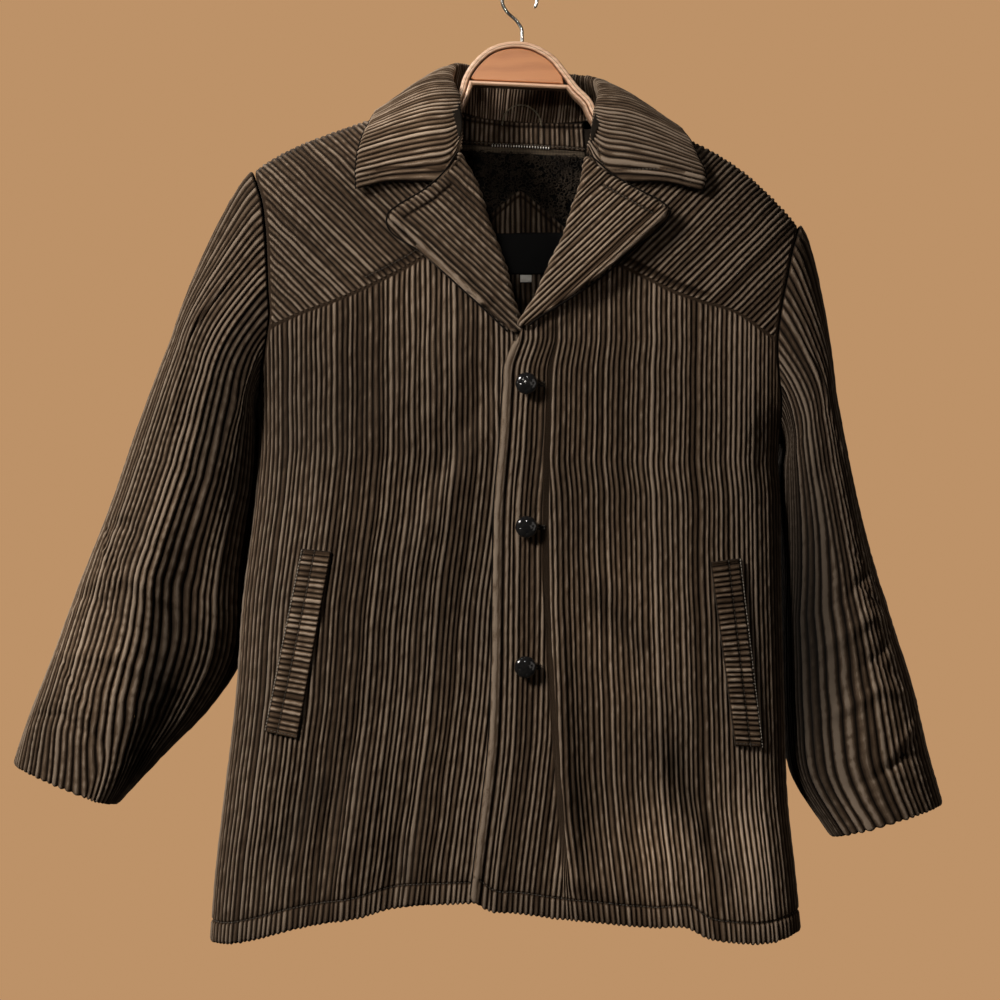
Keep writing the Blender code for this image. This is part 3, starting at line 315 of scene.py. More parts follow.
# seam, fold and edge, each across, depth and height, then the fall's sag and bulge
COLLAR = (
    (-51.5, -53, -161, -54.5, -57, -160.5, -146.5, -60, -196, 6, 2),
    (-56, -51, -144, -52, -52.5, -145, -147, -58, -175.5, 3, 6),
    (-62, -42.5, -125, -53, -43, -128, -143.5, -54, -154, 1, 9),
    (-69.5, -22, -114, -55.5, -26, -106.5, -136.5, -36, -133.5, 0, 10),
    (-73.5, 0, -109, -62, -4, -88, -130.5, -3, -119, 0, 10),
    (-67, 19, -110.5, -59, 16, -72.5, -119.5, 30, -126.5, 0, 9),
    (-46.5, 35, -115.5, -44.5, 33, -70, -84.5, 52, -142.5, 0, 7),
    (0, 42, -121.5, 6.5, 48, -74, 5, 64, -151, 0, 5),
    (53, 37, -122, 55, 34, -79, 97, 54, -154.5, 0, 7),
    (75.5, 20, -121.5, 69, 17, -85, 130, 33, -142.5, 0, 9),
    (85, 0, -120.5, 73, -4, -99, 143.5, -3, -133.5, 0, 10),
    (80.5, -22, -126, 69, -25, -117, 153.5, -35, -147.5, 0, 10),
    (72.5, -43.5, -137, 65.5, -43, -135, 161, -48, -167, 1, 9),
    (65.5, -52.5, -151, 63, -54, -152, 166.5, -57, -184, 3, 7),
    (59, -53, -165, 61.5, -57, -162.5, 163.5, -60, -198, 5, 2),
)

# across and height: the lapel's top edge from the gorge to the tip, then its outer edge
LAPEL_RIGHT = ((-55, -164), (-68, -183), (-86.5, -199), (-110.5, -213.5), (-117.5, -219.5),
               (-118.5, -224.5), (-84.5, -256), (-48, -289.5), (-22, -313.5), (-10.5, -324.5))
LAPEL_LEFT = ((62, -168), (82.5, -185), (107.5, -199.5), (129.5, -212), (133.5, -216.5),
              (131.5, -223), (104.5, -247.5), (72.5, -275.5), (34, -301.5), (15, -313.5),
              (7, -319.5))

# across and height of a welt's corners: top inner, top outer, bottom outer, bottom inner
WELT_RIGHT = ((-169.5, -521.5), (-196.5, -519), (-230.5, -684.5), (-200.5, -690.5))
WELT_LEFT = ((171.5, -531), (199, -527.5), (220, -699.5), (194.5, -697))

# across, height of the rim's top edge round the neck of the hanger
RIM_NECK = ((-76, -127.5), (-68, -121.5), (-61, -111), (-55.5, -99), (-52, -87.5),
            (-39.5, -69), (-25.5, -58.5), (-14.5, -55), (-0.5, -54), (11.5, -56),
            (21.5, -60.5), (32.5, -68), (42.5, -80), (53.5, -94.5), (67, -109), (70.5, -117),
            (77, -127.5), (86, -136.5))
BAR_ENDS = ((-46, -90), (44.5, -94))

# across, depth and height along the hanging loop
LOOP = ((-16, 37.5, -124), (-14, 37.8, -115), (-7, 38, -107.5), (2.5, 38, -105),
        (12.5, 38, -109), (18.5, 37.8, -116), (21, 37.5, -125))

# finer creases of the fronts, in the same columns as the folds
FRONT_CREASES = (
    (31, -362, 32, -470, 7, 3.2),
    (14, -380, 13, -540, 6, -3.0),
    (31, -500, 40, -740, 7, 3.4),
    (22, -600, 34, -800, 6, -3.2),
    (38, -700, 52, -826, 7, 3.0),
    (-30, -330, -104, -425, 9, 2.6),
    (-26, -372, -92, -480, 9, -3.0),
    (-36, -420, -112, -560, 12, 2.6),
    (-20, -470, -84, -640, 13, -2.4),
    (118, -380, 160, -470, 12, 2.6),
    (96, -420, 140, -540, 12, -2.6),
    (70, -470, 112, -640, 13, 2.2),
    (-186, -420, -176, -520, 10, 3.0),
    (-206, -560, -226, -700, 12, 3.0),
    (-120, -690, -164, -836, 11, 3.6),
    (-142, -660, -186, -820, 11, -5.0),
    (-88, -760, -96, -838, 10, 3.0),
    (-112, -770, -114, -836, 9, -3.2),
    (64, -560, 112, -614, 9, -3.6),
    (130, -700, 190, -820, 12, -6.0),
    (176, -690, 232, -800, 11, 3.4),
    (96, -740, 112, -858, 9, -3.4),
    (30, -806, 84, -826, 7, 3.6),
    (28, -820, 90, -842, 6, -2.4),
    (206, -380, 200, -470, 12, 3.0),
    (-14, -560, -16, -800, 16, 1.8),
    (-60, -800, -20, -822, 7, 2.2),
)

# across and height of the seam under the collar's stand, inside the neck
STAND_SEAM = table((-67, -110.5), (-46.5, -115.5), (0, -121.5), (53, -122), (75.5, -121.5))

# height and across of the left front's pressed crease
PRESSED_CREASE = table((-340, 27), (-430, 24), (-529, 22), (-640, 28), (-783, 38.5), (-880, 45))

# painted light and shade on the pile, lighter on lit folds and darker in shaded troughs: across,
# height, both half sizes, gain
RIGHT_PAINTED_LIGHT = (
    (-165, -385, 80, 70, -0.32), (-60, -560, 80, 110, -0.25), (-150, -470, 40, 60, 0.10),
    (-200, -800, 40, 60, 0.20), (-60, -700, 60, 60, 0.15), (-150, -740, 26, 70, -0.15),
    (-182, -738, 13, 20, -0.42), (-198, -762, 13, 20, -0.45), (-213, -788, 13, 20, -0.45),
    (-103, -803, 10, 26, -0.40), (-128, -770, 16, 30, 0.25),
)
LEFT_PAINTED_LIGHT = (
    (110, -430, 60, 60, 0.05), (90, -600, 60, 80, 0.75), (165, -790, 70, 60, 1.35),
    (60, -800, 40, 40, 0.35), (30, -500, 30, 60, -0.10), (215, -800, 40, 60, 0.55),
    (72, -566, 14, 17, -0.5), (90, -585, 14, 17, -0.5), (108, -606, 14, 17, -0.45),
    (138, -712, 12, 22, -0.55), (152, -742, 12, 22, -0.6), (168, -776, 13, 24, -0.62),
    (186, -810, 14, 24, -0.55), (115, -790, 30, 50, 0.5),
)
# painted light and shade on the collar and the sleeves: lighter where they face the light, darker
# where the body shades the sleeves' inner sides
COLLAR_PAINTED_LIGHT = ((-108, -150, 45, 45, 1.0), (-70, -110, 30, 30, 0.45))
SLEEVE_PAINTED_LIGHT = {
    RIGHT: (
        (-390, -600, 70, 130, 0.6), (-330, -420, 60, 60, 0.08), (-327, -650, 18, 55, -0.65),
        (-347, -712, 15, 38, -0.65), (-290, -527, 32, 70, 0.6),
    ),
    LEFT: ((262, -600, 34, 200, -0.85), (335, -600, 36, 150, 0.5)),
}

# share along, share around, tilt, length along, width around, depth
SLEEVE_CREASES = {
    RIGHT: (
        (0.50, 0.02, 0.5, 0.008, 0.10, -3.2),
        (0.555, 0.10, 0.9, 0.008, 0.09, 3.4),
        (0.585, 0.18, 0.7, 0.009, 0.07, -3.4),
        (0.68, 0.08, -0.6, 0.009, 0.08, 3.0),
        (0.79, 0.16, 0.5, 0.008, 0.09, -3.4),
        (0.83, 0.20, 0.6, 0.009, 0.09, 3.2),
        (0.93, 0.10, 0.4, 0.008, 0.12, 1.4),
        (0.25, 0.16, 2.2, 0.020, 0.05, 2.0),
        (0.36, 0.26, 1.6, 0.020, 0.06, -2.0),
        (0.60, 0.24, 0.0, 0.200, 0.035, 4.0),
        (0.56, 0.315, 0.0, 0.140, 0.045, -10.0),
        (0.80, 0.36, 0.8, 0.110, 0.045, -8.0),
    ),
    LEFT: (
        (0.49, 0.04, -0.5, 0.008, 0.10, -2.0),
        (0.535, 0.12, -0.8, 0.008, 0.10, 3.8),
        (0.57, 0.16, -0.6, 0.008, 0.10, -4.0),
        (0.62, 0.10, 0.7, 0.009, 0.08, 3.4),
        (0.70, 0.20, -0.5, 0.009, 0.09, -3.4),
        (0.81, 0.12, 0.4, 0.008, 0.10, 4.0),
        (0.845, 0.15, 0.4, 0.008, 0.10, -4.0),
        (0.93, 0.14, -0.3, 0.008, 0.12, 1.6),
        (0.26, 0.14, -2.0, 0.020, 0.05, 2.0),
        (0.38, 0.24, -1.4, 0.020, 0.06, -2.0),
    ),
}

# share along, share around, of each sleeve's front seam
SLEEVE_SEAMS = {
    RIGHT: table(
        (0, 0.20), (0.16, 0.235), (0.37, 0.262), (0.57, 0.255), (0.69, 0.282), (0.8, 0.305),
        (0.9, 0.345), (1, 0.40),
    ),
    LEFT: table((0, 0.29), (0.3, 0.36), (0.55, 0.41), (1, 0.42)),
}


def smooth(rows: Array, at: Array | float, column: int = 1) -> Array:
    """Reads one column of a table along a smooth curve through its rows.

    Args:
        rows: the table, sorted by its first column.
        at: where to read it.
        column: the column to read.

    Returns:
        The values at those places.
    """
    keys, values = rows[:, 0], rows[:, column]
    slopes = np.gradient(values, keys)
    i = np.clip(np.searchsorted(keys, at) - 1, 0, len(keys) - 2)
    step = keys[i + 1] - keys[i]
    t = np.clip((at - keys[i]) / step, 0, 1)
    return (
        values[i] * (1 + 2 * t) * (1 - t) ** 2
        + slopes[i] * step * t * (1 - t) ** 2
        + values[i + 1] * t * t * (3 - 2 * t)
        + slopes[i + 1] * step * t * t * (t - 1)
    )


def straight(rows: Array, at: Array) -> Array:
    """The second column of a table, read along straight lines between its rows."""
    return np.interp(at, rows[:, 0], rows[:, 1])


def ease(t: Array) -> Array:
    """A smooth step from 0 to 1."""
    t = np.clip(t, 0, 1)
    return t * t * (3 - 2 * t)


def unit(vectors: Array) -> Array:
    """Vectors of length one in the same directions."""
    return vectors / np.maximum(np.linalg.norm(vectors, axis=-1, keepdims=True), 1e-9)


def run_along(points: Array) -> Array:
    """The length of a line of points from its first one to each."""
    return np.concatenate([[0], np.cumsum(np.linalg.norm(np.diff(points, axis=0), axis=1))])


def keyed_by_run(line: Array, grid: Array) -> Array:
    """A table whose rows are keyed by their share of a line's length."""
    lengths = run_along(line)
    return np.column_stack([lengths / lengths[-1], grid])


def beside(line: Array) -> Array:
    """Directions at right angles to the run of a line in across and height."""
    run = unit(np.gradient(line, axis=0))
    return np.column_stack([run[:, 1], -run[:, 0]])


def ripple(a: Array, b: Array, seed: int) -> Array:
    """A soft uneven ripple over two coordinates.

    Args:
        a: the first coordinate, in ripples.
        b: the second coordinate, in ripples.
        seed: picks the pattern.

    Returns:
        Values from about -1 to 1.
    """
    draw = np.random.default_rng(seed)
    total = np.zeros(np.broadcast(a, b).shape)
    for _ in range(7):
        angle, rate = draw.uniform(0, 2 * math.pi), draw.uniform(0.5, 1.6)
        phase = draw.uniform(0, 2 * math.pi)
        total += np.sin(2 * math.pi * rate * (a * math.cos(angle) + b * math.sin(angle)) + phase)
    return total / 3.2


def shoulder_fall(run: Array) -> Array:
    """How far below the shoulder seam the cloth is after a run down over the shoulder."""
    bend = np.clip(run / SHOULDER_RUN, 0, 1)
    return SHOULDER_DROP * (1 - np.cos(bend * math.pi / 2)) + np.maximum(run - SHOULDER_RUN, 0)


def shoulder_run(fall: Array) -> Array:
    """The run that gives a fall: the inverse of shoulder_fall."""
    bend = np.arccos(1 - np.clip(fall / SHOULDER_DROP, 0, 1)) / (math.pi / 2)
    return SHOULDER_RUN * bend + np.maximum(fall - SHOULDER_DROP, 0)


def body_middle(z: Array) -> Array:
    """The middle of the body's section at a height."""
    return (smooth(BODY, z, 1) + smooth(BODY, z, 2)) / 2


def body_half(z: Array) -> Array:
    """Half the width of the body's section at a height."""
    return (smooth(BODY, z, 2) - smooth(BODY, z, 1)) / 2


def turn_at(x: Array, z: Array) -> Array:
    """The angle round the body's section at a place: 0 at the right side, pi at the left."""
    u = np.clip((x - body_middle(z)) / body_half(z), -1, 1)
    return np.arccos(-np.sign(u) * np.abs(u) ** (ROUNDNESS / 2))


def across_at(turn: Array, z: Array) -> Array:
    """The place across at an angle round the body's section."""
    c = np.cos(turn)
    return body_middle(z) - body_half(z) * np.sign(c) * np.abs(c) ** (2 / ROUNDNESS)


def fold_depth(x: Array, z: Array, folds: Rows) -> Array:
    """The sum of the soft folds and troughs at a place.

    Args:
        x: across.
        z: height.
        folds: both ends, half width and depth of each fold.

    Returns:
        How far the cloth stands out there.
    """
    total = np.zeros(np.broadcast(x, z).shape)
    for x0, z0, x1, z1, width, depth in folds:
        dx, dz = x1 - x0, z1 - z0
        t = np.clip(((x - x0) * dx + (z - z0) * dz) / (dx * dx + dz * dz), 0, 1)
        away = ((x - x0 - t * dx) ** 2 + (z - z0 - t * dz) ** 2) / width**2
        taper = 0.35 + 0.65 * np.sin(math.pi * np.clip(t, 0.02, 0.98))
        total = total + depth * np.exp(-away) * taper
    return total


def drape(face: int, x: Array, z: Array) -> Array:
    """The fine unevenness of the hung cloth: long soft waves down the body."""
    seed = 5 if face == FRONT else 6
    grow = ease((-z - 300) / 350)
    return 0.9 * grow * ripple(x / 95, z / 420, seed) + 0.35 * ripple(x / 42, z / 110, seed + 10)


def body_depth(face: int, turn: Array, x: Array, z: Array) -> Array:
    """How far the cloth stands in front of the hanger or behind it."""
    side = np.sin(turn).clip(0) ** (2 / ROUNDNESS)
    below = np.clip((smooth(RIDGE, x) - z) / SHOULDER_DROP, 0, 1)
    top = np.sqrt(1 - (1 - below) ** 2)
    folds = fold_depth(x, z, FRONT_FOLDS + FRONT_CREASES if face == FRONT else BACK_FOLDS)
    return (smooth(BODY, z, 3 if face == FRONT else 4) + folds + drape(face, x, z)) * side * top


def body_point(face: int, turn: Array, x: Array, z: Array, lift: Array | float = 0.0) -> Array:
    """The place on the body's form at a turn, moved out by a lift."""
    depth = face * (body_depth(face, turn, x, z) + lift)
    return np.stack(np.broadcast_arrays(x, depth, z), axis=-1).astype(float)


def on_body(face: int, x: Array, z: Array, lift: Array | float = 0.0) -> Array:
    """The place on the body's form at a place across and a height."""
    return body_point(face, turn_at(x, z), x, z, lift)


def section_lengths() -> tuple[Array, Array, float]:
    """Turn against share of the length round half of a middling section, and that length."""
    turns = np.linspace(0, math.pi, 401)
    c = np.cos(turns)
    x = MIDDLING_HALF * np.sign(c) * np.abs(c) ** (2 / ROUNDNESS)
    y = MIDDLING_DEPTH * np.sin(turns).clip(0) ** (2 / ROUNDNESS)
    lengths = run_along(np.column_stack([x, y]))
    return turns, lengths / lengths[-1], float(lengths[-1])


TURNS, LENGTHS, HALF_ROUND = section_lengths()


def armhole_turns(armhole: Array, underarm: float) -> Array:
    """Turn of an armhole seam against the root of the height above the underarm."""
    rows = [(0.0, 0.0)]
    for height, across in armhole:
        turn = float(turn_at(np.array(across), np.array(height)))
        rows.append((math.sqrt(height - underarm), min(turn, math.pi - turn)))
    return table(*rows)


ARM_TURNS = {
    RIGHT: armhole_turns(ARMHOLE_RIGHT, UNDERARM[RIGHT]),
    LEFT: armhole_turns(ARMHOLE_LEFT, UNDERARM[LEFT]),
}


def side_turn(side: int, z: Array) -> Array:
    """Turn of a panel's side: the armhole seam above the underarm, then the side seam."""
    above = np.sqrt(np.clip(z - UNDERARM[side], 0, ARM_TOP[side] - UNDERARM[side]))
    turn = smooth(ARM_TURNS[side], above).clip(0)
    return turn if side == RIGHT else math.pi - turn


def overlap_lift(x: Array, z: Array) -> Array:
    """How far the left front rides over the right one, most where the lapels cross."""
    crossing = CROSSING_LIFT * np.exp(-(((z - CROSSING_HEIGHT) / CROSSING_SPREAD) ** 2))
    return (OVERLAP_LIFT + crossing) * (1 - ease((x - OVERLAP_FROM) / OVERLAP_FADE))


def back_turn(u: Array, z: Array) -> Array:
    """Turn of a wale of the back: upright, but for those beside the armholes."""
    right = np.interp(side_turn(RIGHT, z), TURNS, LENGTHS)
    left = 1 - np.interp(side_turn(LEFT, z), TURNS, LENGTHS)
    near_right = np.clip(1 - u / ARMHOLE_REACH, 0, 1)
    near_left = np.clip(1 - (1 - u) / ARMHOLE_REACH, 0, 1)
    return np.interp(u + right * near_right - left * near_left, LENGTHS, TURNS)


def armhole_height(side: int, turn: Array) -> Array:
    """Height of the armhole seam below the yoke at a turn, and above everything past it."""
    heights = np.linspace(UNDERARM[side], YOKE_CORNER[side] - YOKE_GAP, 60)
    turns = side_turn(side, heights)
    if side == LEFT:
        turn, turns = math.pi - turn, math.pi - turns
    return np.interp(turn, turns, heights, right=0.0)


@dataclass(frozen=True)
class FrontCut:
    """A front that flares towards its hem.

    The right one's wales keep their distance from its side seam. Those of the left one keep it
    from the nearer edge, and a pressed crease in between takes up the cloth that is left over.

    Attributes:
        side: RIGHT or LEFT.
    """

    side: int

    def lengths(self, z: Array) -> tuple[Array, Array]:
        """The length round half of the body at a height, and the width of the front there."""
        round_body = HALF_ROUND * body_half(z) / MIDDLING_HALF
        share = np.interp(turn_at(straight_edge(self.side, z), z), TURNS, LENGTHS)
        return round_body, round_body * (share if self.side == RIGHT else 1 - share)

    def width(self) -> float:
        """The width of the front at its hem."""
        return float(self.lengths(np.array(CUT_LEVEL[self.side]))[1])

    def starts(self, u: Array) -> Array:
        """The height where each wale comes out of the right front's edge, and 0 for the rest."""
        if self.side == LEFT:
            return np.zeros(u.shape)
        z = np.linspace(STRAIGHT_FROM, CUT_LEVEL[RIGHT], 60)
        wide = np.maximum.accumulate(self.lengths(z)[1])
        return np.where(u * self.width() > wide[0], np.interp(u * self.width(), wide, z), 0.0)

    def turn(self, u: Array, z: Array) -> Array:
        """The turn of a wale at a height."""
        round_body, wide = self.lengths(z)
        if self.side == RIGHT:
            return np.interp(np.minimum(u * self.width(), wide) / round_body, LENGTHS, TURNS)
        spare = (self.width() - wide).clip(0)
        crease = straight(PRESSED_CREASE, z) - straight_edge(LEFT, z)
        near, far = crease - CREASE_HALF, crease + CREASE_HALF
        away = u * self.width()
        between = near + (away - near) * 2 * CREASE_HALF / (2 * CREASE_HALF + spare)
        place = np.where(away < near, away, np.where(away > far + spare, away - spare, between))
        return math.pi - np.interp((wide - place).clip(0) / round_body, LENGTHS, TURNS)


def upright(turn_of: Callable, side: int) -> Callable:
    """Keeps the wales of a front upright above the underarm.

    Args:
        turn_of: the turn of a wale at a height below the underarm.
        side: RIGHT or LEFT.

    Returns:
        The turn of a wale at any height.
    """

    def turn(u: Array, z: Array) -> Array:
        """The turn of a wale at any height."""
        level = np.minimum(z, STRAIGHT_FROM)
        at_level = turn_of(u, level)
        x = across_at(at_level, level)
        lean = straight_edge(side, z) - straight_edge(side, level)
        lean = lean * (u if side == RIGHT else 1 - u) ** 2
        return np.where(z > STRAIGHT_FROM, turn_at(x + lean, z), at_level)

    return turn


def straight_edge(side: int, z: Array) -> Array:
    """The place across of a front's free edge at a height."""
    return UNDER_EDGE + 0.0 * z if side == RIGHT else smooth(FRONT_EDGE, z)


def body_panel(
    face: int, turn_of: Callable, top: Callable, bottom: Callable, lift: Callable | None = None,
    starts: Callable | None = None,
) -> Lay:
    """A panel with upright wales.

    Args:
        face: FRONT or BACK.
        turn_of: the turn of a wale at a height.
        top: the height of the panel's top at a turn and a place across.
        bottom: the height of its hem at a place across.
        lift: how far it rides over what is under it.
        starts: the height where a wale leaves the side seam.

    Returns:
        A surface: u runs across the panel and v runs down it over the shoulder.
    """

    def surface(u: Array, v: Array) -> Array:
        """The place at a share across and down."""
        high = np.full(u.shape, FIRST_TOP)
        low = np.full(u.shape, FIRST_HEM)
        for _ in range(8):
            turn = turn_of(u, high)
            high = top(turn, across_at(turn, high))
            if starts:
                high = np.minimum(high, starts(u))
            low = bottom(across_at(turn_of(u, low), low))
        crest = smooth(RIDGE, across_at(turn_of(u, high), high))
        first, last = shoulder_run(crest - high), shoulder_run(crest - low)
        z = crest - shoulder_fall(first + v * (last - first))
        turn = turn_of(u, z)
        x = across_at(turn, z)
        return body_point(face, turn, x, z, lift(x, z) if lift else 0.0)

    return surface


def crossings(outline: Array, point: Array, along: Array) -> tuple[float, float]:
    """Where a line crosses a closed outline, as the first and last place along it."""
    ahead = np.roll(outline, -1, axis=0)
    across = np.array([-along[1], along[0]])
    here, there = (outline - point) @ across, (ahead - point) @ across
    cut = (here <= 0) != (there <= 0)
    share = here[cut] / (here[cut] - there[cut])
    at = (outline[cut] + share[:, None] * (ahead[cut] - outline[cut]) - point) @ along
    return at.min(), at.max()


@dataclass(frozen=True)
class SlantedCut:
    """A flat outline cut so that the wales run across it at a slope.

    Attributes:
        outline: the outline's corners.
        slope: the wales' slope in degrees.
        steps: how many lines the cut is traced with.
        shortest: the length of the shortest wale.
        crowd: a power that crowds points at the head, or at the foot where it is negative.
    """

    outline: Array
    slope: float
    steps: int = 900
    shortest: float = 1.5
    crowd: float = 0.0

    def width(self) -> float:
        """The cut's width at right angles to its wales."""
        places = self.outline @ self.across()
        return float(places.max() - places.min())

    def along(self) -> Array:
        """The direction of the wales."""
        return np.array([math.cos(math.radians(self.slope)), math.sin(math.radians(self.slope))])

    def across(self) -> Array:
        """The direction at right angles to the wales."""
        along = self.along()
        return np.array([-along[1], along[0]])

    def lines(self) -> Array:
        """Start and end points of closely set wale lines over the whole outline."""
        along, across = self.along(), self.across()
        places = self.outline @ across
        margin = 0.0005 * (places.max() - places.min())
        rows = []
        for level in np.linspace(places.min() + margin, places.max() - margin, self.steps + 1):
            first, last = crossings(self.outline, across * level, along)
            middle, half = (first + last) / 2, max(last - first, self.shortest) / 2
            rows.append([across * level + along * (middle + way * half) for way in (-1, 1)])
        return np.array(rows)

    def surface(self, lay: Lay) -> Lay:
        """The cut laid on a form: u runs from wale to wale, v along them."""
        lines = self.lines()
        keys = np.linspace(0, 1, len(lines))

        def laid(u: Array, v: Array) -> Array:
            """The place at a share across and along the wales."""
            if self.crowd:
                v = v.clip(0, 1)
                v = v**self.crowd if self.crowd > 0 else 1 - (1 - v) ** -self.crowd
            ends = [np.interp(u, keys, lines[:, end, axis]) for end in (0, 1) for axis in (0, 1)]
            return lay(ends[0] + v * (ends[2] - ends[0]), ends[1] + v * (ends[3] - ends[1]))

        return laid


def yoke_outline(side: int, roll: Array, seam: Array) -> Array:
    """The yoke's outline in across and height, from the neck along the shoulder and round."""
    ends = 0 if side == RIGHT else 1
    neck_end = NECK_ENDS[ends]
    shoulder = np.linspace(neck_end, SHOULDER_ENDS[ends], 14)
    heights = np.linspace(ARM_TOP[side] - 1.0, YOKE_CORNER[side], 16)
    armhole = across_at(side_turn(side, heights), heights)
    seam_x = np.linspace(armhole[-1], seam[-1, 0] if side == RIGHT else seam[0, 0], 16)
    roll_x = np.linspace(seam_x[-1], neck_end, 10)
    points = [(x, float(smooth(RIDGE, x))) for x in shoulder]
    points += list(zip(armhole, heights))
    points += [(x, float(smooth(seam, x))) for x in seam_x[1:]]
    points += [(x + side * ROLL_EDGE, float(smooth(roll, x))) for x in roll_x[1:-1]]
    return np.array(points, dtype=float)


def lay_on_shoulder(x: Array, z: Array) -> Array:
    """The place on the front, at most as high as the shoulder seam."""
    return on_body(FRONT, x, np.minimum(z, smooth(RIDGE, x)))


def keyed_by_height(roll: Array) -> Array:
    """A roll line as height against across."""
    return roll[np.argsort(roll[:, 1])][:, ::-1]


def lapel_outline(edge: Outline, roll: Array, side: int) -> Array:
    """The lapel's flat outline: its top and outer edges, then back up the roll line."""
    reach = ROLL_RADIUS * (math.pi / 2 - ROLL_START)
    low, high = edge[-1][1], edge[0][1]
    by_height = keyed_by_height(roll)
    roll_line = [(smooth(by_height, z) - side * reach, z) for z in np.linspace(low, high, 12)]
    return np.array(list(edge) + roll_line, dtype=float)


def lay_lapel(roll: Array, side: int, under: Lay, stand: float) -> Lay:
    """Lays a flat lapel over the front, rolled over the roll line at its inner edge.

    Args:
        roll: the roll line.
        side: RIGHT or LEFT.
        under: how far the front below it is lifted.
        stand: how far its outer edge stands off the front.

    Returns:
        A function from across and height to a place.
    """
    by_height = keyed_by_height(roll)

    def lay(x: Array, z: Array) -> Array:
        """The place of a point of the flat lapel."""
        line = smooth(by_height, z)
        out = side * (x - line)
        angle = np.clip((out + ROLL_RADIUS * math.pi / 2) / ROLL_RADIUS, ROLL_START, math.pi)
        beyond = ROLL_RADIUS * (1 - np.sin(angle))
        flat = out + ROLL_RADIUS - ROLL_RADIUS * math.pi / 2
        place = line + side * np.where(angle < math.pi, beyond, flat)
        swell = stand * ease((out - ROLL_RADIUS) / 45)
        rise = (LAYER_LIFT + LAPEL_CLEARANCE) * (1 - np.cos(angle)) / 2
        rise = rise - ROLL_CENTRE * (1 + np.cos(angle))
        return on_body(FRONT, place, z, under(place, z) + rise + swell)

    return lay


def quad_panel(corners: Outline, lift: float) -> Lay:
    """A four-cornered patch laid on the front: u runs down its length, v across it."""
    (ax, az), (bx, bz), (cx, cz), (dx, dz) = corners

    def surface(u: Array, v: Array) -> Array:
        """The place at a share down and across."""
        x = (1 - u) * ((1 - v) * ax + v * bx) + u * ((1 - v) * dx + v * cx)
        z = (1 - u) * ((1 - v) * az + v * bz) + u * ((1 - v) * dz + v * cz)
        return on_body(FRONT, x, z, lift)

    return surface


def back_normal(x: Array, z: Array) -> Array:
    """The outward direction of the back at a place."""
    along = on_body(BACK, x + 1, z) - on_body(BACK, x - 1, z)
    upward = on_body(BACK, x, z + 1) - on_body(BACK, x, z - 1)
    return unit(np.cross(upward, along))


def inner_back(x: Array, z: Array, inset: float) -> Array:
    """A place inside the back, in from its form by a distance."""
    return on_body(BACK, x, z) - back_normal(x, z) * inset


def inner_back_panel(
    left: float, right: float, top: Callable, bottom: Callable, inset: float
) -> Lay:
    """A patch hung inside the back.

    Args:
        left: its smallest place across.
        right: its largest place across.
        top: the height of its top at a place across.
        bottom: the height of its foot.
        inset: how far in from the back's form it hangs.

    Returns:
        A surface: u runs across it and v runs down it.
    """

    def surface(u: Array, v: Array) -> Array:
        """The place at a share across and down."""
        x = left + (right - left) * u
        high, low = top(x), bottom(x)
        return inner_back(x, high + (low - high) * v, inset)

    return surface


def armhole_loop(side: int, around: Array) -> Array:
    """The armhole seam: 0 and 1 at the shoulder, a half at the underarm."""
    share = (1 - np.abs(1 - 2 * around)) ** ARMHOLE_CROWDING
    rise = (1 - share) * math.sqrt(ARM_TOP[side] - UNDERARM[side])
    z = UNDERARM[side] + rise**2
    turn = side_turn(side, z)
    x = across_at(turn, z)
    front = body_point(FRONT, turn, x, z)
    back = body_point(BACK, turn, x, z)
    return np.where((around < 0.5)[..., None], front, back)


